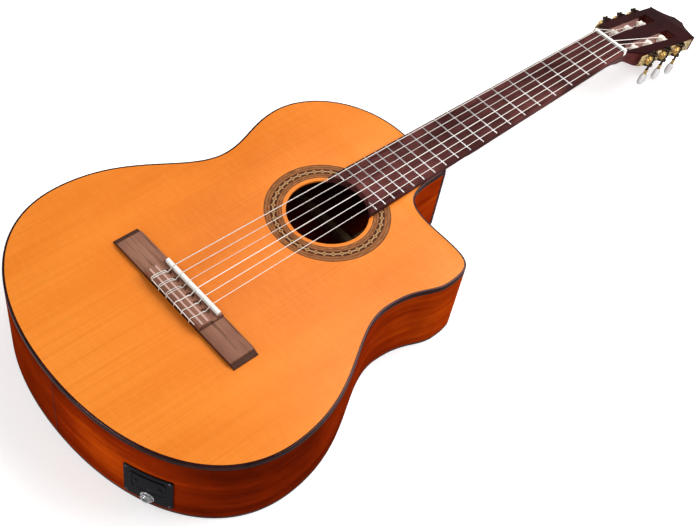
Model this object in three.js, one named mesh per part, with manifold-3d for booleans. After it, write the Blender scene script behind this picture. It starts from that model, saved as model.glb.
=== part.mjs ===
// A classical guitar with a cutaway, lying on its back, as a three.js scene graph of its separate pieces.
//
// The pieces are drawn in the instrument's own frame, in millimetres: x runs across it to the treble
// side, y along the strings with zero at the nut's front edge and the head at positive y, and z out of
// the soundboard with zero on its top face. The back is not parallel to the soundboard, so at the end
// the whole instrument is turned until its back lies flat on z = 0, with the part's origin on the
// back's outer face, on the centre line, straight below the saddle.
import * as THREE from "three";
import { mergeVertices } from "three/addons/utils/BufferGeometryUtils.js";
import Module from "manifold-3d";

const wasm = await Module();
wasm.setup();

// ---------------------------------------------------------------- driving dimensions

const GAP = 0.1; // glue line, or air, between two pieces that meet

const SCALE_LENGTH = 650;
const FRETS = 19;
const JOINT_FRET = 12; // the fret over the body's edge
const NUT_WIDTH = 50;
const NUT_THICKNESS = 5;
const BOARD_WIDTH_AT_JOINT = 61.7;
const BOARD_TOP = 6;
const STRING_SPREAD_AT_NUT = 43.4; // between the centres of the two outer strings
const STRING_SPREAD_AT_SADDLE = 59.4;
const STRING_HEIGHT_AT_NUT = 8.5;
const STRING_HEIGHT_AT_SADDLE = 12;

const JOINT_Y = -324.6; // the body's edge at the neck
const TAIL_Y = -811.5;
const LOWER_BOUT = { x: 191.2, y: -679.3 };
const WAIST = { x: 129.9, y: -508.3 };
const UPPER_BOUT = { x: 149.6, y: -418 };
const HORN = { x: 146.6, y: -434.5 }; // widest point of the treble side above the waist
const HORN_TOP = { x: 89.8, y: -395.6 };
const SCOOP_END = { x: 32.3, y: -339 }; // where the cutaway runs up beside the neck
const DEPTH_AT_TAIL = 100;
const DEPTH_AT_JOINT = 94;

const TOP_THICKNESS = 2.5;
const BACK_THICKNESS = 2.5;
const RIB_THICKNESS = 2;
const BINDING_WIDTH = 2.3;
const TOP_BINDING_HEIGHT = 6;
const BACK_BINDING_HEIGHT = 4;
const LINING_WIDTH = 5.4;

const HOLE = { x: 0, y: -473.2, radius: 44.2 };
const ROSETTE = { inner: 48.5, outer: 67.5, depth: 1 };

const SADDLE_Y = -650.5;
const SADDLE = { halfLength: 41, thickness: 2.6, foot: 4.8 };
const BRIDGE = { y: -661.4, halfLength: 96, depth: 29.5, wingHeight: 4.6, blockHalf: 43, tieHoleHeight: 6.6 };

const HEAD_ANGLE = THREE.MathUtils.degToRad(14);
const HEAD_THICKNESS = 20;
const VENEER = 2;
const HEAD_HALF_WIDTH = 37;
const HEAD_LENGTH = 157;
const CREST = { half: 7, height: 173 };
const SLOT = { start: 12, end: 126, inner: 10.5, outerNear: 22, outerFar: 27, nearRamp: 8, farRamp: 1 };

const ROLLER = { places: [40, 75, 110], level: -9, radius: 5, from: 11.2, to: 22.6, journal: 2.6 };
const GEAR = { teeth: 14, pitchRadius: 5.6, tip: 6.05, root: 4.9, from: 39.9, to: 43.3 };
const WORM = { tip: 3, root: 1.9, distance: 8.1, from: -14.5, to: -3.5, shaft: 1.5, top: 2.4 };
const PLATE = { thickness: 1.2, from: 22, to: 151, low: -17.6, high: -0.2, ear: 2.2 };
const THREAD_START = Math.PI / 2; // the thread's turn at the gear's level, between two teeth
const BUTTON = { centre: -39, halfLength: 8.5, halfWidth: 8, halfThickness: 3.8 };

const PANEL = { x: 115.4, z: -65.5, width: 51, height: 49.5, proud: 1.7 };
const DRAWER = { z: -61.5, width: 31.4, height: 20.4, depth: 54, wall: 1.4 };
const BATTERY = { width: 26, height: 17, length: 47 };
const JACK = { z: -82, bore: 3.3, barrel: 4.7, nut: 6.2, length: 30 };

// ---------------------------------------------------------------- solids

const X = new THREE.Vector3(1, 0, 0);
const Y = new THREE.Vector3(0, 1, 0);
const Z = new THREE.Vector3(0, 0, 1);

// A closed geometry as a manifold-3d solid, turned to face out if its faces point in.
function solid(geometry) {
  const bare = geometry.clone();
  bare.deleteAttribute("normal");
  bare.deleteAttribute("uv");
  const merged = mergeVertices(bare, 1e-4);
  const vertProperties = new Float32Array(merged.getAttribute("position").array);
  const triVerts = new Uint32Array(merged.index.array);
  const body = new wasm.Manifold(new wasm.Mesh({ numProp: 3, vertProperties, triVerts }));
  if (body.volume() >= 0) return body;
  for (let i = 0; i < triVerts.length; i += 3) {
    [triVerts[i], triVerts[i + 1]] = [triVerts[i + 1], triVerts[i]];
  }
  return new wasm.Manifold(new wasm.Mesh({ numProp: 3, vertProperties, triVerts }));
}

// A manifold-3d solid back as a geometry.
function geometryOf(body) {
  const mesh = body.getMesh();
  return new THREE.BufferGeometry()
    .setAttribute("position", new THREE.BufferAttribute(new Float32Array(mesh.vertProperties), 3))
    .setIndex(new THREE.BufferAttribute(new Uint32Array(mesh.triVerts), 1));
}

function join(...solids) {
  return solids.reduce((whole, piece) => whole.add(piece));
}

function cut(body, ...tools) {
  return tools.reduce((left, tool) => left.subtract(tool), body);
}

// A solid whose plan is a shape in x and y, between two heights that may each change along y.
function slab(shape, low, high) {
  const geometry = new THREE.ExtrudeGeometry(shape, { depth: 1, bevelEnabled: false, curveSegments: 20 });
  const p = geometry.getAttribute("position");
  const level = (height, y) => (typeof height === "number" ? height : height(y));
  for (let i = 0; i < p.count; i++) {
    p.setZ(i, p.getZ(i) > 0.5 ? level(high, p.getY(i)) : level(low, p.getY(i)));
  }
  return solid(geometry);
}

// A shape extruded by depth along its own normal, with the shape's axes laid on two given directions.
function extrude(shape, depth, matrix, curveSegments = 12) {
  const geometry = new THREE.ExtrudeGeometry(shape, { depth, bevelEnabled: false, curveSegments });
  return solid(geometry.applyMatrix4(matrix));
}

// The frame whose x, y and z axes are the given directions, at a point.
function frame(xAxis, yAxis, zAxis, x = 0, y = 0, z = 0) {
  return new THREE.Matrix4().makeBasis(xAxis, yAxis, zAxis).setPosition(x, y, z);
}

function box(x0, x1, y0, y1, z0, z1) {
  const geometry = new THREE.BoxGeometry(x1 - x0, y1 - y0, z1 - z0);
  return solid(geometry.translate((x0 + x1) / 2, (y0 + y1) / 2, (z0 + z1) / 2));
}

// A round bar along the z axis of a frame, between two heights in it.
function rod(radius, low, high, matrix, sides = 12) {
  const geometry = new THREE.CylinderGeometry(radius, radius, high - low, sides);
  geometry.rotateX(Math.PI / 2).translate(0, 0, (low + high) / 2);
  return solid(geometry.applyMatrix4(matrix));
}

// A skin over rings of points, closed at both ends. All the rings have the same number of points.
function loft(rings) {
  const sides = rings[0].length;
  const position = rings.flat().flatMap((point) => point.toArray());
  const index = [];
  for (let r = 0; r + 1 < rings.length; r++) {
    for (let i = 0; i < sides; i++) {
      const a = r * sides + i;
      const b = r * sides + ((i + 1) % sides);
      index.push(a, b, b + sides, a, b + sides, a + sides);
    }
  }
  const last = (rings.length - 1) * sides;
  for (let i = 1; i + 1 < sides; i++) {
    index.push(0, i + 1, i, last, last + i, last + i + 1);
  }
  const geometry = new THREE.BufferGeometry();
  geometry.setAttribute("position", new THREE.Float32BufferAttribute(position, 3)).setIndex(index);
  return solid(geometry);
}

function polygon(points) {
  return new THREE.Shape(points.map(([x, y]) => new THREE.Vector2(x, y)));
}

// ---------------------------------------------------------------- the body's outline

// One side of the outline, from the middle of the tail to the neck, as a path on the x > 0 side.
function lowerSide() {
  const path = new THREE.Path();
  path.moveTo(0, TAIL_Y);
  path.bezierCurveTo(112, TAIL_Y, LOWER_BOUT.x, LOWER_BOUT.y - 82, LOWER_BOUT.x, LOWER_BOUT.y);
  path.bezierCurveTo(LOWER_BOUT.x, LOWER_BOUT.y + 87, WAIST.x, WAIST.y - 49.5, WAIST.x, WAIST.y);
  return path;
}

function bassSide() {
  const path = lowerSide();
  path.bezierCurveTo(WAIST.x, WAIST.y + 30.6, UPPER_BOUT.x, UPPER_BOUT.y - 37, UPPER_BOUT.x, UPPER_BOUT.y);
  path.bezierCurveTo(UPPER_BOUT.x, UPPER_BOUT.y + 48.5, 102, JOINT_Y + 4, 31, JOINT_Y);
  path.lineTo(10, JOINT_Y);
  return path.getPoints(10).map((p) => new THREE.Vector2(-p.x, p.y));
}

function trebleSide() {
  const path = lowerSide();
  path.bezierCurveTo(WAIST.x, WAIST.y + 43, HORN.x, HORN.y - 25, HORN.x, HORN.y);
  path.bezierCurveTo(HORN.x, HORN.y + 38, HORN_TOP.x + 46, HORN_TOP.y, HORN_TOP.x, HORN_TOP.y);
  path.bezierCurveTo(HORN_TOP.x - 48, HORN_TOP.y, SCOOP_END.x, SCOOP_END.y - 47, SCOOP_END.x, SCOOP_END.y);
  path.lineTo(31.5, JOINT_Y);
  path.lineTo(10, JOINT_Y);
  return path.getPoints(10);
}

const BASS = bassSide();
const TREBLE = trebleSide();

// Moves a line of points sideways, mitred at its corners. A positive distance moves it to the right
// of its own direction.
function offset(points, distance, closed = false) {
  const count = points.length;
  const normal = (a, b) => new THREE.Vector2(b.y - a.y, a.x - b.x).normalize();
  return points.map((p, i) => {
    const before = closed ? points[(i + count - 1) % count] : points[Math.max(i - 1, 0)];
    const after = closed ? points[(i + 1) % count] : points[Math.min(i + 1, count - 1)];
    const n1 = i > 0 || closed ? normal(before, p) : normal(p, after);
    const n2 = i < count - 1 || closed ? normal(p, after) : n1;
    const mitre = n1.clone().add(n2).divideScalar(1 + n1.dot(n2));
    return p.clone().addScaledVector(mitre, distance);
  });
}

// A wall that follows one side of the body, from `near` to `far` millimetres inside its outline.
function wall(side, near, far, low, high) {
  const inward = side === BASS ? 1 : -1;
  const outer = offset(side, inward * near);
  const inner = offset(side, inward * far);
  return slab(new THREE.Shape([...outer, ...inner.reverse()]), low, high);
}

// The whole outline as one closed shape, drawn in from the body's edge.
function bodyShape(inset) {
  const round = [...TREBLE, ...BASS.slice(1).reverse()];
  return new THREE.Shape(offset(round, -inset, true));
}

// Height of the back's outer face.
function backFace(y) {
  const slope = (DEPTH_AT_TAIL - DEPTH_AT_JOINT) / (JOINT_Y - TAIL_Y);
  return -DEPTH_AT_TAIL + slope * (y - TAIL_Y);
}

function aboveBack(height) {
  return (y) => backFace(y) + height;
}

// ---------------------------------------------------------------- body

const TOP_UNDER = -TOP_THICKNESS - GAP;
const BACK_OVER = BACK_THICKNESS + GAP;

function soundboard() {
  const shape = bodyShape(BINDING_WIDTH + GAP);
  shape.holes.push(new THREE.Path().absarc(HOLE.x, HOLE.y, HOLE.radius, 0, 2 * Math.PI, true));
  const channel = new THREE.Shape().absarc(HOLE.x, HOLE.y, ROSETTE.outer + GAP, 0, 2 * Math.PI);
  channel.holes.push(new THREE.Path().absarc(HOLE.x, HOLE.y, ROSETTE.inner - GAP, 0, 2 * Math.PI, true));
  return cut(slab(shape, -TOP_THICKNESS, 0), slab(channel, -ROSETTE.depth - GAP, 1));
}

function rosette() {
  const ring = new THREE.Shape().absarc(HOLE.x, HOLE.y, ROSETTE.outer, 0, 2 * Math.PI);
  ring.holes.push(new THREE.Path().absarc(HOLE.x, HOLE.y, ROSETTE.inner, 0, 2 * Math.PI, true));
  return slab(ring, -ROSETTE.depth, 0);
}

function back() {
  return slab(bodyShape(BINDING_WIDTH + GAP), backFace, aboveBack(BACK_THICKNESS));
}

// One rib. The two meet at a seam in the middle of the tail.
function rib(side) {
  const bent = wall(side, 0, RIB_THICKNESS, aboveBack(BACK_BINDING_HEIGHT + GAP), -TOP_BINDING_HEIGHT - GAP);
  const [x0, x1] = side === BASS ? [-GAP, 1] : [-1, GAP];
  const seam = box(x0, x1, TAIL_Y - 1, TAIL_Y + 4, -DEPTH_AT_TAIL, 0);
  return cut(bent, seam);
}

function binding(low, high) {
  return join(wall(BASS, 0, BINDING_WIDTH, low, high), wall(TREBLE, 0, BINDING_WIDTH, low, high));
}

// The kerfed linings glued into both corners of the ribs, with the block inside the tail.
function liningsWithEndBlock() {
  const near = BINDING_WIDTH + GAP;
  const bass = BASS.filter((p) => p.x > -1 || p.x < -38);
  const treble = TREBLE.filter((p) => p.x < 1 || p.y < -396.5 || p.x > 84).slice(0, -2);
  const strip = (side, inward, low, high) => {
    const outer = offset(side, inward * near);
    const inner = offset(side, inward * (near + LINING_WIDTH));
    return slab(new THREE.Shape([...outer, ...inner.reverse()]), low, high);
  };
  const strips = [
    [bass, 1],
    [treble, -1],
  ].flatMap(([side, inward]) => [
    strip(side, inward, -16, TOP_UNDER),
    strip(side, inward, aboveBack(BACK_OVER), aboveBack(10)),
  ]);
  const block = slab(bodyShape(near), aboveBack(BACK_OVER), TOP_UNDER).intersect(
    box(-32, 32, TAIL_Y, TAIL_Y + 20, -120, 0),
  );
  return join(block, ...strips);
}

// A straight strut between two points of the plan.
function strut(x0, y0, x1, y1, width, low, high) {
  const along = new THREE.Vector2(x1 - x0, y1 - y0).normalize().multiplyScalar(width / 2);
  const [dx, dy] = [-along.y, along.x];
  const plan = [
    [x0 + dx, y0 + dy],
    [x0 - dx, y0 - dy],
    [x1 - dx, y1 - dy],
    [x1 + dx, y1 + dy],
  ];
  return slab(polygon(plan), low, high);
}

// Two harmonic bars with the strips beside the sound hole, the fan struts and the bridge patch.
function topBracing() {
  const under = TOP_UNDER;
  const bars = [
    strut(-138, -416, 133, -416, 8, under - 13, under),
    strut(-121, -530, 121, -530, 8, under - 13, under),
    strut(-57, -416, -57, -530, 12, under - 2.5, under),
    strut(57, -416, 57, -530, 12, under - 2.5, under),
    box(-80, 80, -680, -644, under - 2, under),
  ];
  const fan = [-3, -2, -1, 0, 1, 2, 3].map((n) => {
    const tailY = -782 + 4 * n * n;
    return strut(18 * n, -530, 33 * n, tailY, 5, under - 5, under);
  });
  return join(...bars, ...fan);
}

// The strip over the back's centre seam and the three bars across it.
function backBracing() {
  const on = aboveBack(BACK_OVER);
  const bars = [
    [-134, -426, 126],
    [-138, -575, 138],
    [-176, -700, 176],
  ].map(([x0, y, x1]) => strut(x0, y, x1, y, 8, on, aboveBack(BACK_OVER + 11)));
  return join(strut(0, -370, 0, TAIL_Y + 22, 16, on, aboveBack(BACK_OVER + 2.2)), ...bars);
}

// ---------------------------------------------------------------- neck and head

// The head's frame: x across, y along its face away from the nut, z out of its face.
const HEAD = frame(
  X,
  new THREE.Vector3(0, Math.cos(HEAD_ANGLE), -Math.sin(HEAD_ANGLE)),
  new THREE.Vector3(0, Math.sin(HEAD_ANGLE), Math.cos(HEAD_ANGLE)),
  0,
  NUT_THICKNESS,
  3,
);

function boardHalfWidth(y) {
  const growth = (BOARD_WIDTH_AT_JOINT - NUT_WIDTH) / (SCALE_LENGTH / 2);
  return (NUT_WIDTH - growth * y) / 2;
}

// A cross-section of the neck at y: flat on top, `depth` deep, narrowing to the half-width `foot`,
// rounder the smaller `squareness` is, and hollower in its flanks the larger `flare` is.
function neckSection(y, depth, foot, squareness, flare) {
  const top = boardHalfWidth(y);
  const levels = [0, 0.08, 0.2, 0.4, 0.6, 0.76, 0.88, 0.96, 1];
  const right = levels.map((s) => {
    const round = Math.pow(1 - Math.pow(s, squareness), 1 / squareness);
    return new THREE.Vector3((foot + (top - foot) * Math.pow(1 - s, flare)) * round, y, -depth * s);
  });
  const left = right.slice(0, -1).map((p) => new THREE.Vector3(-p.x, p.y, p.z));
  return [...right, ...left.reverse()];
}

function headShape() {
  const right = new THREE.Path();
  right.moveTo(24.2, 0.9);
  right.lineTo(24.6, 5);
  right.bezierCurveTo(25.5, 11, 31, 20, 35, 30);
  right.quadraticCurveTo(HEAD_HALF_WIDTH, 35, HEAD_HALF_WIDTH, 42);
  right.lineTo(HEAD_HALF_WIDTH, HEAD_LENGTH - 6);
  right.lineTo(HEAD_HALF_WIDTH + 1, HEAD_LENGTH);
  right.quadraticCurveTo(17.5, HEAD_LENGTH + 4, CREST.half, CREST.height);
  const points = right.getPoints(8);
  const left = points.map((p) => new THREE.Vector2(-p.x, p.y)).reverse();
  return new THREE.Shape([...points, ...left]);
}

// One of the two long slots: its plan, met by a side view that ramps both its ends.
function headSlot(side) {
  const plan = polygon([
    [side * SLOT.inner, SLOT.start],
    [side * SLOT.outerNear, SLOT.start],
    [side * SLOT.outerFar, SLOT.end],
    [side * SLOT.inner, SLOT.end],
  ]);
  const sideView = polygon([
    [SLOT.start - 2, 5],
    [SLOT.start - 0.4, 1],
    [SLOT.start + SLOT.nearRamp, -HEAD_THICKNESS - 1],
    [SLOT.end - SLOT.farRamp, -HEAD_THICKNESS - 1],
    [SLOT.end + 1, 1],
    [SLOT.end + 4, 5],
  ]);
  const across = HEAD.clone().multiply(frame(Y, Z, X, -40, 0, 0));
  const down = HEAD.clone().multiply(frame(X, Y, Z, 0, 0, -HEAD_THICKNESS - 2));
  return extrude(plan, HEAD_THICKNESS + 6, down).intersect(extrude(sideView, 80, across));
}

const SLOTS = [headSlot(-1), headSlot(1)];

// What is cut from under the head beside the nut, where its back runs up into the neck's.
function underHead() {
  const sideView = polygon([
    [-4, -14],
    [4, -14.6],
    [12, -16.6],
    [20, -19],
    [28, -HEAD_THICKNESS - 0.5],
    [-4, -HEAD_THICKNESS - 4],
  ]);
  return extrude(sideView, 80, HEAD.clone().multiply(frame(Y, Z, X, -40, 0, 0)));
}

// The line through a roller's centre, pointing away from the head's middle on its own side.
function rollerFrame(side, place) {
  const out = new THREE.Vector3(side, 0, 0);
  return HEAD.clone().multiply(frame(Z.clone().cross(out), Z, out, 0, place, ROLLER.level));
}

function neck() {
  const heel = JOINT_Y + 0.2;
  const sections = [
    [heel, 93.4, 12, 9, 2.5],
    [heel + 14, 93.4, 9, 6, 4.5],
    [heel + 17, 82, 9, 5, 4.5],
    [heel + 20, 66, 9, 4, 4],
    [heel + 25, 50, 10, 3.2, 3],
    [heel + 32, 36, 13, 2.7, 1.8],
    [heel + 42, 26, 20, 2.4, 1],
    [heel + 56, 20, 25, 2.3, 1],
    [heel + 75, 17.5, 26, 2.2, 1],
    [-130, 16.5, 25, 2.2, 1],
    [-30, 15.5, 22, 2.2, 1],
    [-14, 15.6, 23, 3, 1],
    [-4, 15.8, 24, 5, 1],
    [NUT_THICKNESS + 0.4, 15, 24, 8, 1],
  ];
  const bar = loft(sections.map((s) => neckSection(...s)));
  const block = slab(
    polygon([
      [-27.5, -366],
      [27.5, -366],
      [27.5, JOINT_Y - BINDING_WIDTH - 2 * GAP],
      [-27.5, JOINT_Y - BINDING_WIDTH - 2 * GAP],
    ]),
    aboveBack(BACK_OVER),
    TOP_UNDER,
  );
  const web = box(-9.7, 9.7, JOINT_Y - 6, JOINT_Y + 3, -86, -TOP_BINDING_HEIGHT - 0.5);
  const core = HEAD.clone().multiply(frame(X, Y, Z, 0, 0, -HEAD_THICKNESS));
  const head = cut(extrude(headShape(), HEAD_THICKNESS - VENEER - GAP, core), underHead());
  const bores = [-1, 1].flatMap((side) =>
    ROLLER.places.map((place) => rod(3.3, 5, HEAD_HALF_WIDTH + 2, rollerFrame(side, place), 10)),
  );
  return cut(join(bar, block, web, head), ...SLOTS, ...bores);
}

function headVeneer() {
  const face = HEAD.clone().multiply(frame(X, Y, Z, 0, 0, -VENEER));
  return cut(extrude(headShape(), VENEER, face), ...SLOTS);
}

function fretY(n) {
  return -SCALE_LENGTH * (1 - Math.pow(2, -n / 12));
}

const FRET = { crownHalf: 1.2, crownHeight: 1.1, tangHalf: 0.3, tangDepth: 1.4 };
const BOARD_END_RADIUS = HOLE.radius + 0.3;

// The fingerboard: a tapering plan cut round at the sound hole, with a sawn slot for each fret.
function fingerboard() {
  const end = HOLE.y;
  const profile = [[end, GAP], [-GAP, GAP], [-GAP, BOARD_TOP]];
  for (let n = 1; n <= FRETS; n++) {
    const [near, far] = [fretY(n) + FRET.tangHalf + GAP, fretY(n) - FRET.tangHalf - GAP];
    const floor = BOARD_TOP - FRET.tangDepth - GAP;
    profile.push([near, BOARD_TOP], [near, floor], [far, floor], [far, BOARD_TOP]);
  }
  profile.push([end, BOARD_TOP]);
  const sawn = extrude(polygon(profile), 80, frame(Y, Z, X, -40, 0, 0));
  const plan = polygon([
    [-boardHalfWidth(end), end],
    [boardHalfWidth(end), end],
    [boardHalfWidth(0), 0],
    [-boardHalfWidth(0), 0],
  ]);
  const opening = new THREE.Shape().absarc(HOLE.x, HOLE.y, BOARD_END_RADIUS, 0, 2 * Math.PI);
  return cut(sawn.intersect(slab(plan, -1, BOARD_TOP + 1)), slab(opening, -1, BOARD_TOP + 1));
}

// A fret wire from x0 to x1: a low crown on the board and a tang in its slot.
function fretWire(n, x0, x1) {
  const { crownHalf, crownHeight, tangHalf, tangDepth } = FRET;
  const profile = polygon([
    [-tangHalf, -tangDepth],
    [tangHalf, -tangDepth],
    [tangHalf, GAP / 2],
    [crownHalf, GAP / 2],
    [crownHalf * 0.85, crownHeight * 0.62],
    [crownHalf * 0.35, crownHeight],
    [-crownHalf * 0.35, crownHeight],
    [-crownHalf * 0.85, crownHeight * 0.62],
    [-crownHalf, GAP / 2],
    [-tangHalf, GAP / 2],
  ]);
  return extrude(profile, x1 - x0, frame(Y, Z, X, x0, fretY(n), BOARD_TOP));
}

// ---------------------------------------------------------------- strings, nut, saddle, bridge

// From the first string, on the treble side, to the sixth. A roller's place counts from the nut.
const STRINGS = [
  { name: "string_1_high_e", radius: 0.36, roller: 0, landing: 19 },
  { name: "string_2_b", radius: 0.41, roller: 1, landing: 18.2 },
  { name: "string_3_g", radius: 0.51, roller: 2, landing: 17.5 },
  { name: "string_4_d", radius: 0.37, roller: 2, landing: 17.5 },
  { name: "string_5_a", radius: 0.45, roller: 1, landing: 18.2 },
  { name: "string_6_low_e", radius: 0.54, roller: 0, landing: 19 },
];

function stringX(index, spread) {
  return spread / 2 - (spread * index) / (STRINGS.length - 1);
}

function nut() {
  const profile = polygon([
    [0, GAP],
    [NUT_THICKNESS, GAP],
    [NUT_THICKNESS, 7.2],
    [NUT_THICKNESS - 1.2, 8.6],
    [0.8, 9],
    [0, 8.4],
  ]);
  const half = NUT_WIDTH / 2;
  const slots = STRINGS.map((string, i) => {
    const x = stringX(i, STRING_SPREAD_AT_NUT);
    const half = string.radius + GAP;
    return box(x - half, x + half, -1, NUT_THICKNESS + 1, STRING_HEIGHT_AT_NUT - 2 * half, 12);
  });
  return cut(extrude(profile, 2 * half, frame(Y, Z, X, -half, 0, 0)), ...slots);
}

function saddle() {
  const low = SADDLE.foot + GAP;
  const high = STRING_HEIGHT_AT_SADDLE - 0.7;
  const profile = polygon([
    [-SADDLE.thickness / 2, low],
    [SADDLE.thickness / 2, low],
    [SADDLE.thickness / 2, high - 0.7],
    [SADDLE.thickness / 2 - 0.7, high],
    [0.7 - SADDLE.thickness / 2, high],
    [-SADDLE.thickness / 2, high - 0.7],
  ]);
  const along = frame(Y, Z, X, -SADDLE.halfLength, SADDLE_Y, 0);
  return extrude(profile, 2 * SADDLE.halfLength, along);
}

function bridge() {
  const front = BRIDGE.y + BRIDGE.depth / 2;
  const rear = BRIDGE.y - BRIDGE.depth / 2;
  const block = polygon([
    [rear, GAP],
    [front, GAP],
    [front, 6.4],
    [front - 1.6, 8],
    [front - 7, 8],
    [front - 8.2, 5.2],
    [rear + 16.4, 5.2],
    [rear + 15.2, 9.4],
    [rear + 1.4, 9.4],
    [rear, 8],
  ]);
  const wings = polygon([
    [rear, GAP],
    [front, GAP],
    [front, BRIDGE.wingHeight - 1.4],
    [front - 2.5, BRIDGE.wingHeight],
    [rear + 2.5, BRIDGE.wingHeight],
    [rear, BRIDGE.wingHeight - 1.4],
  ]);
  const ends = polygon([
    [-BRIDGE.halfLength, 0],
    [BRIDGE.halfLength, 0],
    [BRIDGE.halfLength, 2.4],
    [BRIDGE.halfLength - 5, BRIDGE.wingHeight + 0.1],
    [5 - BRIDGE.halfLength, BRIDGE.wingHeight + 0.1],
    [-BRIDGE.halfLength, 2.4],
  ]);
  const centre = extrude(block, 2 * BRIDGE.blockHalf, frame(Y, Z, X, -BRIDGE.blockHalf, 0, 0));
  const across = extrude(wings, 2 * BRIDGE.halfLength, frame(Y, Z, X, -BRIDGE.halfLength, 0, 0));
  const along = extrude(ends, BRIDGE.depth + 4, frame(X.clone().negate(), Z, Y, 0, rear - 2, 0));
  const slotHalf = SADDLE.thickness / 2 + GAP;
  const slotEnd = SADDLE.halfLength + GAP;
  const slot = box(-slotEnd, slotEnd, SADDLE_Y - slotHalf, SADDLE_Y + slotHalf, SADDLE.foot, 12);
  const holes = STRINGS.map((string, i) => {
    const x = stringX(i, STRING_SPREAD_AT_SADDLE);
    return rod(1, -1, 20, frame(X.clone().negate(), Z, Y, x, rear, BRIDGE.tieHoleHeight), 8);
  });
  return cut(join(centre, across.intersect(along)), slot, ...holes);
}

// A string pulled tight from inside the tie block, over the saddle and the nut, to its roller.
function guitarString(index) {
  const { radius, roller, landing } = STRINGS[index];
  const side = index < 3 ? 1 : -1;
  const atSaddle = stringX(index, STRING_SPREAD_AT_SADDLE);
  const atNut = stringX(index, STRING_SPREAD_AT_NUT);
  const tieBack = BRIDGE.y - BRIDGE.depth / 2 + 1;
  const end = new THREE.Vector3(
    side * landing,
    ROLLER.places[roller],
    ROLLER.level + ROLLER.radius + radius + 0.2,
  ).applyMatrix4(HEAD);
  const route = [
    new THREE.Vector3(atSaddle, tieBack, BRIDGE.tieHoleHeight),
    new THREE.Vector3(atSaddle, SADDLE_Y - 9.5, BRIDGE.tieHoleHeight),
    new THREE.Vector3(atSaddle, SADDLE_Y - 0.8, STRING_HEIGHT_AT_SADDLE - 0.1),
    new THREE.Vector3(atSaddle, SADDLE_Y + 0.8, STRING_HEIGHT_AT_SADDLE),
    new THREE.Vector3(atNut, 0, STRING_HEIGHT_AT_NUT),
    new THREE.Vector3(atNut, NUT_THICKNESS - 1, STRING_HEIGHT_AT_NUT - 0.1),
    end,
  ];
  const sides = 8;
  const rings = route.map((centre) =>
    Array.from({ length: sides }, (_, k) => {
      const turn = (-2 * Math.PI * (k + 0.5)) / sides;
      return new THREE.Vector3(radius * Math.cos(turn), 0, radius * Math.sin(turn)).add(centre);
    }),
  );
  return loft(rings);
}

// ---------------------------------------------------------------- tuning machines

const WORM_X = (GEAR.from + GEAR.to) / 2;
const WORM_PITCH = (2 * Math.PI * GEAR.pitchRadius) / GEAR.teeth;

// A worm's frame: its origin beside the gear's centre, its z axis along the head's normal.
function wormFrame(side, place) {
  return HEAD.clone().multiply(frame(X, Y, Z, side * WORM_X, place + WORM.distance, 0));
}

// The roller with the gear fixed on its end.
function rollerWithGear(side, place) {
  const here = rollerFrame(side, place);
  const toothAngle = (2 * Math.PI) / GEAR.teeth;
  const outline = new THREE.Shape();
  for (let tooth = 0; tooth < GEAR.teeth; tooth++) {
    const middle = tooth * toothAngle;
    const corners = [
      [-0.3, GEAR.root],
      [-0.11, GEAR.tip],
      [0.11, GEAR.tip],
      [0.3, GEAR.root],
    ];
    for (const [turn, radius] of corners) {
      const angle = middle + turn * toothAngle;
      const point = [radius * Math.cos(angle), radius * Math.sin(angle)];
      if (tooth === 0 && turn === corners[0][0]) outline.moveTo(...point);
      else outline.lineTo(...point);
    }
  }
  const depth = GEAR.to - GEAR.from;
  const wheel = new THREE.ExtrudeGeometry(outline, { depth, bevelEnabled: false });
  const lead = WORM_PITCH / (2 * Math.PI * (WORM.distance - GEAR.pitchRadius));
  const p = wheel.getAttribute("position");
  for (let i = 0; i < p.count; i++) {
    const turn = (lead * (p.getZ(i) - depth / 2)) / GEAR.pitchRadius;
    const [x, y] = [p.getX(i), p.getY(i)];
    p.setXY(i, x * Math.cos(turn) - y * Math.sin(turn), x * Math.sin(turn) + y * Math.cos(turn));
  }
  const gear = solid(wheel.translate(0, 0, GEAR.from).applyMatrix4(here));
  return join(
    rod(ROLLER.radius, ROLLER.from, ROLLER.to, here, 16),
    rod(ROLLER.journal, 5.6, GEAR.from + 1, here, 10),
    gear,
    rod(2.2, GEAR.to - 1, GEAR.to + 1, here, 8),
  );
}

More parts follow.
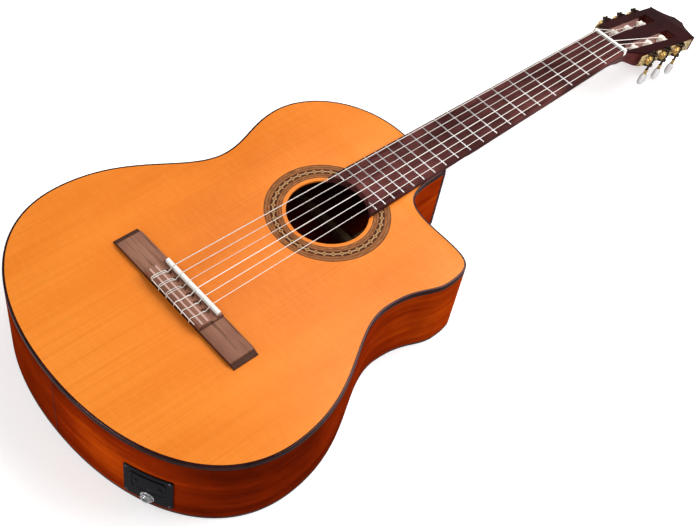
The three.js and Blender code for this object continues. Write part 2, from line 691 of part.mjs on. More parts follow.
// The worm, its shaft and the oval button on the shaft's end.
function wormWithButton(side, place) {
  const here = wormFrame(side, place);
  const stepsPerTurn = 6;
  const turns = (WORM.to - WORM.from - WORM_PITCH) / WORM_PITCH;
  const steps = Math.floor(turns * stepsPerTurn);
  const thread = [
    [WORM.root - 0.5, -0.75],
    [WORM.tip, -0.3],
    [WORM.tip, 0.3],
    [WORM.root - 0.5, 0.75],
  ];
  const rings = Array.from({ length: steps + 1 }, (_, step) => {
    const turn = (2 * Math.PI * (step - steps / 2)) / stepsPerTurn + THREAD_START;
    const level = ROLLER.level + (WORM_PITCH * (step - steps / 2)) / stepsPerTurn;
    return thread.map(([radius, rise]) =>
      new THREE.Vector3(radius * Math.cos(turn), radius * Math.sin(turn), level + rise).applyMatrix4(here),
    );
  });
  const { centre, halfLength, halfWidth, halfThickness } = BUTTON;
  const levels = [-1, -0.85, -0.4, 0.4, 0.85, 1];
  const button = levels.map((level) => {
    const round = Math.max(Math.pow(1 - Math.pow(Math.abs(level), 2.6), 1 / 2.6), 0.3);
    return Array.from({ length: 12 }, (_, k) => {
      const turn = (2 * Math.PI * k) / 12;
      const [c, s] = [Math.cos(turn), Math.sin(turn)];
      const rim = 1 / Math.pow(Math.pow(Math.abs(c), 2.6) + Math.pow(Math.abs(s), 2.6), 1 / 2.6);
      const thick = halfThickness * (0.55 + 0.45 * round);
      return new THREE.Vector3(thick * rim * c, halfWidth * round * rim * s, centre + halfLength * level)
        .applyMatrix4(here);
    });
  });
  return join(
    rod(WORM.root, WORM.from, WORM.to, here, 6),
    rod(WORM.shaft, centre, WORM.top, here, 6),
    rod(2.2, WORM.top - 0.5, WORM.top, here, 6),
    loft(rings),
    loft(button),
  );
}

// The plate on one side of the head, with an ear above and below each worm.
function tunerPlate(side) {
  const inner = HEAD_HALF_WIDTH + GAP;
  const outer = inner + PLATE.thickness;
  const [near, far] = side > 0 ? [inner, outer] : [-outer, -inner];
  const inHead = (x0, x1, u0, u1, w0, w1) => {
    const geometry = new THREE.BoxGeometry(x1 - x0, u1 - u0, w1 - w0);
    geometry.translate((x0 + x1) / 2, (u0 + u1) / 2, (w0 + w1) / 2);
    return solid(geometry.applyMatrix4(HEAD));
  };
  const ears = ROLLER.places.flatMap((place) => {
    const u = place + WORM.distance;
    const reach = WORM_X + 3.6;
    const [e0, e1] = side > 0 ? [near, reach] : [-reach, far];
    const [low, high] = [PLATE.low - 0.7, 1.8];
    return [
      inHead(near, far, u - 4, u + 4, low, high),
      inHead(e0, e1, u - 3.6, u + 3.6, high - PLATE.ear, high),
      inHead(e0, e1, u - 3.6, u + 3.6, low, low + PLATE.ear),
    ];
  });
  const holes = ROLLER.places.flatMap((place) => [
    rod(ROLLER.journal + 0.15, HEAD_HALF_WIDTH - 1, outer + 1, rollerFrame(side, place), 10),
    rod(WORM.shaft + 0.25, -25, 5, wormFrame(side, place), 8),
  ]);
  return cut(join(inHead(near, far, PLATE.from, PLATE.to, PLATE.low, PLATE.high), ...ears), ...holes);
}

// ---------------------------------------------------------------- battery and jack panel

// The panel's frame on the treble rib near the tail: x along the rib, y up, z straight out of it.
const PANEL_FRAME = (() => {
  const fine = lowerSide().getPoints(400);
  const index = fine.findIndex((p) => p.x >= PANEL.x);
  const along = fine[index + 1].clone().sub(fine[index - 1]).normalize();
  const tangent = new THREE.Vector3(along.x, along.y, 0);
  const out = tangent.clone().cross(Z);
  return frame(tangent, Z, out, fine[index].x, fine[index].y, 0);
})();

function inPanel(x0, x1, y0, y1, z0, z1) {
  const geometry = new THREE.BoxGeometry(x1 - x0, y1 - y0, z1 - z0);
  geometry.translate((x0 + x1) / 2, (y0 + y1) / 2, (z0 + z1) / 2);
  return solid(geometry.applyMatrix4(PANEL_FRAME));
}

const DRAWER_REACH = DRAWER.depth + 10;

// A curved plate that follows the rib's outline near the panel, from `low` to `high`.
function tailSkin(inside, outside, low, high) {
  const points = lowerSide().getPoints(24).slice(4, 20);
  const outer = offset(points, outside);
  const inner = offset(points, inside);
  return slab(new THREE.Shape([...outer, ...inner.reverse()]), low, high);
}

const JACK_FRAME = PANEL_FRAME.clone().multiply(frame(X, Y, Z, 0, JACK.z, 0));

function batteryPanel() {
  const half = PANEL.width / 2;
  const [low, high] = [PANEL.z - PANEL.height / 2, PANEL.z + PANEL.height / 2];
  const face = tailSkin(GAP, PANEL.proud, low, high).intersect(inPanel(-half, half, low, high, -20, 20));
  const { width, height, depth, wall, z } = DRAWER;
  const [w, h] = [width / 2 + 0.3, height / 2 + 0.3];
  const housing = inPanel(-w - wall, w + wall, z - h - wall, z + h + wall, -depth - 3, 5);
  const cavity = inPanel(-w, w, z - h, z + h, -depth - 1.5, 20);
  const jackHole = rod(JACK.barrel + 0.3, -20, 20, JACK_FRAME, 16);
  const behindFace = tailSkin(-DRAWER_REACH, PANEL.proud, -DEPTH_AT_TAIL, 0);
  return cut(join(face, housing.intersect(behindFace)), cavity, jackHole);
}

function batteryDrawer() {
  const { width, height, depth, wall, z } = DRAWER;
  const [w, h] = [width / 2, height / 2];
  const behindFront = tailSkin(-DRAWER_REACH, PANEL.proud + 0.9, -DEPTH_AT_TAIL, 0);
  const tray = inPanel(-w, w, z - h, z + h, -depth, 10).intersect(behindFront);
  const bay = inPanel(-w + wall, w - wall, z - h + wall, z + h + 2, wall - depth, -5);
  return cut(tray, bay);
}

function battery() {
  const [w, h] = [BATTERY.width / 2, BATTERY.height];
  const low = DRAWER.z - DRAWER.height / 2 + DRAWER.wall + GAP;
  return inPanel(-w, w, low, low + h, -5.3 - BATTERY.length, -5.3);
}

function outputJack() {
  const flange = PANEL.proud + 0.2;
  const body = join(
    rod(JACK.barrel, -JACK.length, flange + 3, JACK_FRAME, 16),
    rod(JACK.nut, flange, flange + 2.2, JACK_FRAME, 6),
  );
  return cut(body, rod(JACK.bore, -JACK.length + 2, 20, JACK_FRAME, 16));
}

// The opening cut in the rib behind the panel.
function panelWindow() {
  return inPanel(-22, 22, PANEL.z - 22.5, PANEL.z + 21, -20, 20);
}

// ---------------------------------------------------------------- the assembly

const COLOURS = {
  cedar: [0xd98a3a, 0.35, 0],
  mahogany: [0x6e2f18, 0.35, 0],
  rosewood: [0x4a2a22, 0.5, 0],
  bridgeWood: [0x6b5148, 0.55, 0],
  veneer: [0x2a1616, 0.35, 0],
  ebony: [0x1c1214, 0.3, 0],
  spruce: [0xc9a877, 0.7, 0],
  inlay: [0x8a6a42, 0.4, 0],
  bone: [0xf1ebda, 0.4, 0],
  steel: [0xc9c9c6, 0.25, 1],
  nylon: [0xe8e6e2, 0.4, 0],
  gold: [0xcfa448, 0.3, 1],
  pearl: [0xf4f0ea, 0.25, 0],
  plastic: [0x141414, 0.4, 0],
  cell: [0x30343a, 0.5, 0],
  chrome: [0xd8dadd, 0.12, 1],
};

const instrument = new THREE.Group();
instrument.position.set(0, -SADDLE_Y, -backFace(SADDLE_Y));

function add(name, colour, body) {
  const [color, roughness, metalness] = COLOURS[colour];
  const material = new THREE.MeshStandardMaterial({ color, roughness, metalness });
  const mesh = new THREE.Mesh(geometryOf(body), material);
  mesh.name = name;
  instrument.add(mesh);
}

add("soundboard", "cedar", soundboard());
add("back", "mahogany", back());
add("rib_bass", "mahogany", rib(BASS));
add("rib_treble", "mahogany", cut(rib(TREBLE), panelWindow()));
add("binding_top", "ebony", binding(-TOP_BINDING_HEIGHT, 0));
add("binding_back", "ebony", binding(backFace, aboveBack(BACK_BINDING_HEIGHT)));
add("rosette", "inlay", rosette());
add("linings_with_end_block", "spruce", liningsWithEndBlock());
add("top_bracing", "spruce", topBracing());
add("back_bracing", "spruce", backBracing());
add("neck", "mahogany", neck());
add("headstock_veneer", "veneer", headVeneer());
add("fingerboard", "rosewood", fingerboard());
add("nut", "bone", nut());
add("bridge", "bridgeWood", bridge());
add("saddle", "bone", saddle());

for (let n = 1; n < FRETS; n++) {
  const half = boardHalfWidth(fretY(n));
  add("fret_" + String(n).padStart(2, "0"), "steel", fretWire(n, -half, half));
}
// The last fret is in two pieces, one each side of the board's round end.
const lastHalf = boardHalfWidth(fretY(FRETS));
const lastInner = Math.sqrt(BOARD_END_RADIUS ** 2 - (fretY(FRETS) - HOLE.y) ** 2) + 2;
add("fret_19_bass", "steel", fretWire(FRETS, -lastHalf, -lastInner));
add("fret_19_treble", "steel", fretWire(FRETS, lastInner, lastHalf));

STRINGS.forEach((string, i) => add(string.name, "nylon", guitarString(i)));

for (const [label, side] of [["treble", 1], ["bass", -1]]) {
  add("tuner_plate_" + label, "gold", tunerPlate(side));
  ROLLER.places.forEach((place, i) => {
    add(`roller_${label}_${i + 1}`, "bone", rollerWithGear(side, place));
    add(`button_${label}_${i + 1}`, "pearl", wormWithButton(side, place));
  });
}

add("battery_panel", "plastic", batteryPanel());
add("battery_drawer", "plastic", batteryDrawer());
add("battery", "cell", battery());
add("output_jack", "chrome", outputJack());

const guitar = new THREE.Group();
const levelled = new THREE.Group();
levelled.rotation.x = -Math.atan((DEPTH_AT_TAIL - DEPTH_AT_JOINT) / (JOINT_Y - TAIL_Y));
levelled.add(instrument);
guitar.add(levelled);

export default guitar;
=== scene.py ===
from math import atan, atan2, cos, hypot, pi, radians, sin, sqrt, tau

import bmesh
import bpy
from mathutils import Matrix, Vector
from mathutils.geometry import interpolate_bezier


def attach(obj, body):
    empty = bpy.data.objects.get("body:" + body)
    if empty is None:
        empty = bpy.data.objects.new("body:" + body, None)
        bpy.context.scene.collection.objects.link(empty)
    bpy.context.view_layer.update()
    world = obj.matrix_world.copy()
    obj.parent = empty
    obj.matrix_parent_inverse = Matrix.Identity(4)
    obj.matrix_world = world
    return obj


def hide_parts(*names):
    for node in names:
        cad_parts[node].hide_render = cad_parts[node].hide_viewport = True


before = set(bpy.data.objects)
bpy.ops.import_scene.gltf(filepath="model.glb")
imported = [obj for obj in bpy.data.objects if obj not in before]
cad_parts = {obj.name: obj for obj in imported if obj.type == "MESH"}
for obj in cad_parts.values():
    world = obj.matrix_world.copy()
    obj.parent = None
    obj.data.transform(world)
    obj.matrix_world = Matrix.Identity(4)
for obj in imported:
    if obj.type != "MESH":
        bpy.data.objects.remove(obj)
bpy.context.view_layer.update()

# The guitar is drawn in its own frame, in millimetres: x across to the treble side, y along the strings
# with zero at the nut and the head at positive y, z out of the soundboard. TO_ROW lays it on its back.
SCALE_LENGTH = 650
SADDLE_Y = -650.5
TAIL_Y = -811.5
JOINT_Y = -324.6
HOLE_Y = -473.2
DEPTH_TAIL = 100
DEPTH_JOINT = 94
SLOPE = (DEPTH_TAIL - DEPTH_JOINT) / (JOINT_Y - TAIL_Y)


def back_face(y, above=0):
    """Height of the back's outer face, or of a level above it."""
    return -DEPTH_TAIL + SLOPE * (y - TAIL_Y) + above


TO_ROW = (
    Matrix.Scale(0.001, 4)
    @ Matrix.Rotation(-atan(SLOPE), 4, "X")
    @ Matrix.Translation((0, -SADDLE_Y, -back_face(SADDLE_Y)))
)

# ---- camera, light and floor

scene = bpy.context.scene
scene.view_settings.view_transform = "Standard"


def linked(name, data):
    """A new object in the scene."""
    obj = bpy.data.objects.new(name, data)
    scene.collection.objects.link(obj)
    return obj


def add_camera():
    """The view from above the tail on the treble side, looking along the strings to the head."""
    data = bpy.data.cameras.new("camera")
    data.sensor_width = 36
    data.lens = 59.71
    data.clip_end = 20
    camera = linked("camera", data)
    heading, dip, roll = (radians(a) for a in (39.22, 50.995, 10.93))
    camera.matrix_world = (
        Matrix.Translation((0.5335, -0.4242, 1.0112))
        @ Matrix.Rotation(heading, 4, "Z")
        @ Matrix.Rotation(pi / 2 - dip, 4, "X")
        @ Matrix.Rotation(roll, 4, "Z")
    )
    scene.camera = camera


def add_light(name, place, target, size, power):
    data = bpy.data.lights.new(name, "AREA")
    data.shape = "RECTANGLE"
    data.size, data.size_y = size
    data.energy = power
    light = linked(name, data)
    light.location = place
    light.rotation_euler = (Vector(target) - Vector(place)).to_track_quat("-Z", "Y").to_euler()
    light.visible_camera = False


FLOOR_HALF = 6


def add_studio():
    """Soft area lights and a pale floor that glossy surfaces don't mirror."""
    world = bpy.data.worlds.new("world")
    scene.world = world
    world.use_nodes = True
    world.node_tree.nodes["Background"].inputs["Color"].default_value = (1, 1, 1, 1)
    world.node_tree.nodes["Background"].inputs["Strength"].default_value = 0.24
    add_light("key", (0.6, 1.25, 1.45), (0, 0.1, 0.1), (1.5, 1.5), 36)
    add_light("haze", (-0.9, 2.2, 2.6), (0, 0.1, 0.1), (2.2, 1.4), 26)
    add_light("tail_high", (-0.6, -1.5, 1.9), (0, -0.1, 0.1), (0.6, 0.3), 11)
    add_light("tail_low", (-0.1, -1.8, 0.6), (0, -0.1, 0.05), (0.8, 0.5), 8)
    mesh = bpy.data.meshes.new("floor")
    corners = ((-1, -1), (1, -1), (1, 1), (-1, 1))
    mesh.from_pydata([(x * FLOOR_HALF, y * FLOOR_HALF, 0) for x, y in corners], [], [(0, 1, 2, 3)])
    floor = linked("floor", mesh)
    floor.visible_glossy = False
    material = bpy.data.materials.new("floor_paint")
    material.use_nodes = True
    shader = material.node_tree.nodes["Principled BSDF"]
    shader.inputs["Base Color"].default_value = (0.93, 0.93, 0.93, 1)
    shader.inputs["Roughness"].default_value = 0.9
    shader.inputs["Emission Color"].default_value = (1, 1, 1, 1)
    shader.inputs["Emission Strength"].default_value = 0.45
    mesh.materials.append(material)


add_camera()
add_studio()

# ---- material helpers


class Nodes:
    """A material under construction: short calls that add a node and join it up."""

    def __init__(self, name):
        self.material = bpy.data.materials.new(name)
        self.material.use_nodes = True
        self.tree = self.material.node_tree
        self.shader = self.tree.nodes["Principled BSDF"]
        coordinates = self.tree.nodes.new("ShaderNodeTexCoord")
        self.place = coordinates.outputs["Object"]
        self.uv = coordinates.outputs["UV"]

    def put(self, kind, inputs=(), **settings):
        node = self.tree.nodes.new(kind)
        for key, value in settings.items():
            setattr(node, key, value)
        for key, value in dict(inputs).items():
            if isinstance(value, bpy.types.NodeSocket):
                self.tree.links.new(value, node.inputs[key])
            else:
                node.inputs[key].default_value = value
        return node

    def math(self, operation, a, b=0.0, c=0.0):
        return self.put("ShaderNodeMath", {0: a, 1: b, 2: c}, operation=operation).outputs[0]

    def times(self, a, b):
        return self.math("MULTIPLY", a, b)

    def plus(self, a, b):
        return self.math("ADD", a, b)

    def minus(self, a, b):
        return self.math("SUBTRACT", a, b)

    def remap(self, source, low, high, start, end):
        return self.put("ShaderNodeMapRange", {0: source, 1: low, 2: high, 3: start, 4: end}).outputs[0]

    def combined(self, x, y, z=0.0):
        return self.put("ShaderNodeCombineXYZ", {0: x, 1: y, 2: z}).outputs[0]

    def split(self, vector):
        return self.put("ShaderNodeSeparateXYZ", {0: vector}).outputs[:3]

    def noise(self, source, scale, detail, rough, distortion=0.0):
        """Noise, scaled by one number, or stretched by three."""
        if isinstance(scale, tuple):
            source = self.put("ShaderNodeMapping", {"Vector": source, "Scale": scale}).outputs[0]
            scale = 1.0
        inputs = {"Vector": source, "Scale": scale, "Detail": detail, "Roughness": rough}
        inputs["Distortion"] = distortion
        return self.put("ShaderNodeTexNoise", inputs).outputs["Fac"]

    def ramp(self, source, stops, ease="LINEAR"):
        node = self.put("ShaderNodeValToRGB", {"Fac": source})
        node.color_ramp.interpolation = ease
        elements = node.color_ramp.elements
        while len(elements) < len(stops):
            elements.new(0.5)
        for element, (position, colour) in zip(elements, stops):
            element.position = position
            shade = colour if isinstance(colour, tuple) else (colour, colour, colour)
            element.color = (*shade, 1)
        return node.outputs["Color"]

    def mix(self, factor, a, b, blend="MIX"):
        node = self.put("ShaderNodeMix", data_type="RGBA", blend_type=blend)
        for index, value in ((0, factor), (6, a), (7, b)):
            if isinstance(value, bpy.types.NodeSocket):
                self.tree.links.new(value, node.inputs[index])
            elif index == 0:
                node.inputs[0].default_value = value
            else:
                node.inputs[index].default_value = (*value, 1)
        return node.outputs[2]

    def bump(self, height, distance, strength=1.0):
        inputs = {"Height": height, "Distance": distance, "Strength": strength}
        self.tree.links.new(self.put("ShaderNodeBump", inputs).outputs[0], self.shader.inputs["Normal"])

    def finish(self, colour, roughness, gloss=None, tint=None, **values):
        """Sets or links the shader's own sockets. A name's underscores stand for spaces."""
        values.update(Base_Color=colour, Roughness=roughness)
        if gloss is not None:
            values.update(Specular_IOR_Level=gloss)
        if tint:
            values.update(Specular_Tint=tint)
        for key, value in values.items():
            socket = self.shader.inputs[key.replace("_", " ")]
            if isinstance(value, bpy.types.NodeSocket):
                self.tree.links.new(value, socket)
            elif isinstance(value, tuple):
                socket.default_value = (*value, 1)
            else:
                socket.default_value = value
        return self.material


def wood(name, shades, lengthways, pores, roughness, blotch=0.35, tint=(1, 0.5, 0.35), gloss=0.35,
         painted_light_centre=None, painted_shade_below=None):
    """Straight-grained lacquered wood in three shades, from dark to light.

    lengthways is the scale along x, y and z: small along the grain. Painted light and shade: the wood is
    painted lighter round the place painted_light_centre, and darker a hand's breadth from it.
    painted_shade_below is a height under which the wood is painted dark, as painted shade.
    """
    dark, mid, light = shades
    n = Nodes(name)
    broad = n.noise(n.place, tuple(9 * s for s in lengthways), 3, 0.6, 0.4)
    fine = n.noise(n.place, tuple(60 * s for s in lengthways), 5, 0.65)
    streak = n.noise(n.place, tuple(260 * s for s in lengthways), 3, 0.6)
    patch = n.noise(n.place, 14, 3, 0.6)
    grain = n.plus(n.times(broad, 0.55), n.times(fine, 0.45))
    grain = n.plus(grain, n.times(n.minus(patch, 0.5), blotch))
    # Painted light and shade: a pool of light painted round this place, and painted shade a hand's breadth
    # away.
    if painted_light_centre:
        away = n.put("ShaderNodeVectorMath", {0: n.place, 1: painted_light_centre}, operation="DISTANCE").outputs["Value"]
        painted_light_and_shade = n.ramp(n.times(away, 2.5), [(0.0, 0.66), (0.27, 0.34), (0.45, 0.34), (0.8, 0.56)])
        grain = n.plus(grain, n.minus(painted_light_and_shade, 0.5))
    colour = n.ramp(grain, [(0.3, dark), (0.5, mid), (0.7, light)])
    flecks = n.ramp(streak, [(0.34, 0.0), (0.46, 1.0)])
    colour = n.mix(n.times(n.minus(1.0, flecks), pores), colour, tuple(0.35 * c for c in dark))
    # Painted shade: below this height the wood is painted dark, for the shade in the bridge's scallops and
    # at its low wing tips.
    if painted_shade_below:
        painted_shade_mask = n.remap(n.split(n.place)[2], painted_shade_below - 0.001, painted_shade_below, 0.85, 0.0)
        colour = n.mix(painted_shade_mask, colour, tuple(0.3 * c for c in dark))
    rough = n.plus(roughness - 0.06, n.times(fine, 0.12))
    n.bump(n.plus(n.times(flecks, pores), n.times(fine, 0.3)), 0.00012, 0.5)
    return n.finish(colour, rough, gloss, tint)


ALONG_Y = (1.0, 0.045, 1.0)
ALONG_X = (0.045, 1.0, 1.0)
ROUND_RIBS = (0.09, 0.09, 1.6)


def cedar():
    """The lacquered top: fine straight lines either side of the centre seam, with a silky mottle."""
    n = Nodes("cedar_top")
    x, y, z = n.split(n.place)
    mirrored = n.combined(n.math("ABSOLUTE", x), y, z)
    waver = n.noise(mirrored, (5, 1.4, 1), 2, 0.5)
    across = n.plus(n.math("ABSOLUTE", x), n.times(waver, 0.006))
    rings = n.noise(n.combined(n.times(across, 900), n.times(y, 3)), 1, 2, 0.5)
    silk = n.noise(mirrored, (60, 220, 60), 4, 0.65)
    cloud = n.noise(mirrored, (7, 2.2, 1), 3, 0.6)
    shades = [(0.3, (0.72, 0.168, 0.012)), (0.52, (0.86, 0.226, 0.02)), (0.72, (0.96, 0.29, 0.034))]
    colour = n.ramp(cloud, shades)
    colour = n.mix(n.times(n.ramp(rings, [(0.42, 0.0), (0.7, 1.0)]), 0.22), colour, (0.52, 0.095, 0.006))
    colour = n.mix(n.times(n.ramp(silk, [(0.45, 0.0), (0.75, 1.0)]), 0.14), colour, (1.0, 0.40, 0.08))
    n.bump(n.plus(rings, silk), 0.00004, 0.1)
    return n.finish(colour, 0.36, 0.35, (1, 0.7, 0.45))


def rosette_inlay():
    """Rings of straight-grained tan wood either side of a mosaic chain of pale diamonds."""
    n = Nodes("rosette_inlay")
    x, y, _ = n.split(n.place)
    y = n.minus(y, ROSETTE_ROW_Y)
    radius = n.times(n.math("SQRT", n.plus(n.times(x, x), n.times(y, y))), 1000)
    turn = n.math("DIVIDE", n.math("ARCTAN2", y, x), tau)

    def band(low, high, edge=0.12):
        rise = n.remap(radius, low - edge, low + edge, 0.0, 1.0)
        fall = n.remap(radius, high - edge, high + edge, 1.0, 0.0)
        return n.times(rise, fall)

    lines = n.noise(n.combined(n.times(radius, 1.6), n.times(turn, 40)), 1, 3, 0.6)
    tans = [(0.36, (0.13, 0.045, 0.015)), (0.5, (0.28, 0.10, 0.033)), (0.64, (0.44, 0.175, 0.06))]
    colour = n.ramp(lines, tans)
    for low, high, depth in ((48.3, 49.3, 0.5), (51.6, 52.3, 0.6), (63.3, 64.0, 0.5), (66.7, 67.7, 0.9)):
        colour = n.mix(n.times(band(low, high), depth), colour, (0.05, 0.014, 0.008))
    tile = ROSETTE_MIDDLE * tau / ROSETTE_DIAMONDS
    along = n.math("PINGPONG", n.times(turn, tau * ROSETTE_MIDDLE), tile / 2)
    off = n.math("ABSOLUTE", n.minus(radius, ROSETTE_MIDDLE))
    diamond = n.plus(along, off)
    from_edge = n.math("ABSOLUTE", n.minus(diamond, DIAMOND_HALF))
    outline = n.ramp(n.times(from_edge, 0.5), [(0.24, 1.0), (0.42, 0.0)])
    link = n.ramp(n.times(off, 0.5), [(0.3, 1.0), (0.5, 0.0)])
    link = n.times(link, n.math("GREATER_THAN", along, DIAMOND_HALF))
    mosaic = n.mix(n.math("LESS_THAN", diamond, DIAMOND_HALF), (0.06, 0.014, 0.006), (0.22, 0.09, 0.03))
    mosaic = n.mix(n.math("MAXIMUM", outline, link), mosaic, (0.47, 0.27, 0.12))
    colour = n.mix(band(54.2, 61.0), colour, mosaic)
    return n.finish(colour, 0.36, 0.15, (1, 0.6, 0.35))


def binding_lacquer():
    n = Nodes("dark_binding")
    streak = n.noise(n.place, (40, 40, 40), 4, 0.6)
    colour = n.ramp(streak, [(0.35, (0.010, 0.003, 0.003)), (0.7, (0.035, 0.009, 0.009))])
    return n.finish(colour, 0.16, 0.4, (1, 0.55, 0.55))


def smooth_solid(name, colour, roughness, metallic=0.0, spread=0.12, gloss=None):
    """Plastic, bone or metal: a base colour with a faint cloud, fine roughness variation and tiny marks."""
    n = Nodes(name)
    cloud = n.noise(n.place, 35, 3, 0.55)
    marks = n.noise(n.place, 1440, 4, 0.7)
    low = tuple(c * (1 - spread) for c in colour)
    high = tuple(min(1, c * (1 + spread)) for c in colour)
    shade = n.ramp(cloud, [(0.3, low), (0.7, high)])
    rough = n.remap(marks, 0.3, 0.7, roughness * 0.8, roughness * 1.25)
    n.bump(marks, 0.00002, 0.3)
    return n.finish(shade, rough, gloss, Metallic=metallic)


WINDING_PITCH = 0.00035


def wound_string():
    """Silver-plated wire wound round a core: fine hoops along the string."""
    n = Nodes("wound_string")
    hoop = n.math("SINE", n.times(n.split(n.place)[1], tau / WINDING_PITCH))
    wave = n.math("MULTIPLY_ADD", hoop, 0.5, 0.5)
    colour = n.ramp(wave, [(0.0, (0.66, 0.60, 0.53)), (1.0, (0.98, 0.93, 0.86))])
    n.bump(hoop, 0.00004, 0.8)
    return n.finish(colour, 0.35, Metallic=0.2)


def pearl():
    """Pearly plastic: soft milky swirls under a clear gloss."""
    n = Nodes("pearl")
    swirl = n.noise(n.place, (120, 120, 45), 4, 0.6, 1.6)
    shades = [(0.3, (0.50, 0.49, 0.50)), (0.5, (0.64, 0.63, 0.63)), (0.68, (0.76, 0.75, 0.73))]
    colour = n.ramp(swirl, shades)
    milky = {"Subsurface_Weight": 0.15, "Subsurface_Scale": 0.003}
    return n.finish(colour, 0.16, Coat_Weight=0.5, Coat_Roughness=0.05, **milky)


def engraved_gold():
    """Gold-plated brass with a scrolled engraving that has darkened in its cuts."""
    n = Nodes("gold_plate")
    inputs = {"Vector": n.place, "Scale": 210.0, "Randomness": 0.8}
    scroll = n.put("ShaderNodeTexVoronoi", inputs, feature="DISTANCE_TO_EDGE").outputs[0]
    cuts = n.ramp(scroll, [(0.04, 0.0), (0.14, 1.0)])
    tarnish = n.noise(n.place, 90, 4, 0.6)
    colour = n.ramp(tarnish, [(0.3, (0.88, 0.60, 0.22)), (0.7, (1.0, 0.88, 0.52))])
    colour = n.mix(n.times(n.minus(1.0, cuts), 0.75), colour, (0.2, 0.08, 0.02))
    n.bump(cuts, 0.00015, 0.6)
    return n.finish(colour, 0.32, Metallic=0.45)


ROSETTE_INNER, ROSETTE_MIDDLE, ROSETTE_OUTER = 48.5, 57.6, 67.5
ROSETTE_DIAMONDS = 40
DIAMOND_HALF = 2.3
ROSETTE_ROW_Y = (TO_ROW @ Vector((0, HOLE_Y, 0))).y
MATERIALS = {
    "cedar": cedar(),
    # The treble rib's mahogany carries a painted pool of light by the tail and painted shade further round.
    "mahogany": wood(
        "mahogany_rib_treble", ((0.09, 0.007, 0.001), (0.22, 0.018, 0.0016), (0.46, 0.056, 0.0026)),
        ROUND_RIBS, 0.2, 0.3, gloss=0.0, painted_light_centre=(0.075, -0.15, 0.05),
    ),
    # Painted shade: a darker copy of the rib mahogany for the bass rib, which the lamps light less.
    "mahogany_painted_shade": wood(
        "mahogany_rib_bass", ((0.10, 0.008, 0.001), (0.19, 0.016, 0.0014), (0.29, 0.03, 0.002)),
        ROUND_RIBS, 0.2, 0.3, gloss=0.0,
    ),
    "back": wood(
        "mahogany_back", ((0.09, 0.008, 0.0015), (0.20, 0.02, 0.003), (0.36, 0.05, 0.005)),
        ALONG_Y, 0.3, 0.3,
    ),
    "neck": wood(
        "mahogany_neck", ((0.05, 0.008, 0.008), (0.10, 0.02, 0.018), (0.17, 0.04, 0.036)),
        ALONG_Y, 0.35, 0.34, 0.15, (1, 0.6, 0.65), 0.35,
    ),
    "raw_wood": wood(
        "raw_mahogany", ((0.28, 0.12, 0.10), (0.42, 0.22, 0.19), (0.55, 0.33, 0.29)),
        ALONG_Y, 0.3, 0.6, 0.15, (1, 1, 1), 0.1,
    ),
    "stained": wood(
        "stained_mahogany", ((0.03, 0.004, 0.003), (0.06, 0.008, 0.006), (0.10, 0.014, 0.01)),
        ALONG_Y, 0.3, 0.4, 0.1, (1, 0.5, 0.5), 0.06,
    ),
    "rosewood": wood(
        "rosewood_board", ((0.026, 0.006, 0.006), (0.08, 0.025, 0.023), (0.18, 0.055, 0.05)),
        ALONG_Y, 0.5, 0.42, 0.7, (1, 0.6, 0.6), 0.03,
    ),
    # The bridge is painted dark at its lowest parts, as painted shade.
    "bridge": wood(
        "rosewood_bridge", ((0.13, 0.05, 0.032), (0.28, 0.13, 0.085), (0.46, 0.25, 0.165)),
        ALONG_X, 0.65, 0.5, tint=(1, 0.6, 0.45), gloss=0.12, painted_shade_below=0.1025,
    ),
    "veneer": wood(
        "head_veneer", ((0.012, 0.0022, 0.0025), (0.024, 0.004, 0.0045), (0.042, 0.008, 0.008)),
        ALONG_Y, 0.3, 0.3, 0.1, (1, 0.5, 0.5), 0.06,
    ),
    "spruce": wood(
        "spruce_braces", ((0.20, 0.12, 0.06), (0.30, 0.19, 0.10), (0.38, 0.26, 0.15)),
        ALONG_Y, 0.2, 0.7, 0.1, (1, 1, 1),
    ),
    "rosette": rosette_inlay(),
    "binding": binding_lacquer(),
    "bone": smooth_solid("bone", (0.95, 0.93, 0.88), 0.35, spread=0.03),
    "cream": smooth_solid("tan_strip", (0.58, 0.36, 0.30), 0.4, spread=0.08),
    "fret": smooth_solid("fret_wire", (0.78, 0.75, 0.75), 0.32, 0.85, spread=0.05),
    "nylon": smooth_solid("nylon_string", (0.97, 0.92, 0.84), 0.3, spread=0.03),
    "wound": wound_string(),
    "gold": engraved_gold(),
    "dark_brass": smooth_solid("dark_brass", (0.10, 0.06, 0.04), 0.3, 1.0, spread=0.3),
    "brass": smooth_solid("brass", (0.85, 0.58, 0.2), 0.25, 0.8, spread=0.15),
    "roller": smooth_solid("roller_plastic", (0.93, 0.87, 0.76), 0.35, spread=0.06),
    "pearl": pearl(),
    "black": smooth_solid("black_plastic", (0.003, 0.003, 0.006), 0.28, spread=0.3, gloss=0.15),
    "dark_steel": smooth_solid("dark_steel", (0.2, 0.2, 0.22), 0.25, 1.0, spread=0.2),
    "cell": smooth_solid("battery_case", (0.06, 0.065, 0.08), 0.35, 0.6),
    "chrome": smooth_solid("chrome", (0.85, 0.85, 0.87), 0.12, 0.75, spread=0.03),
}

# ---- mesh helpers


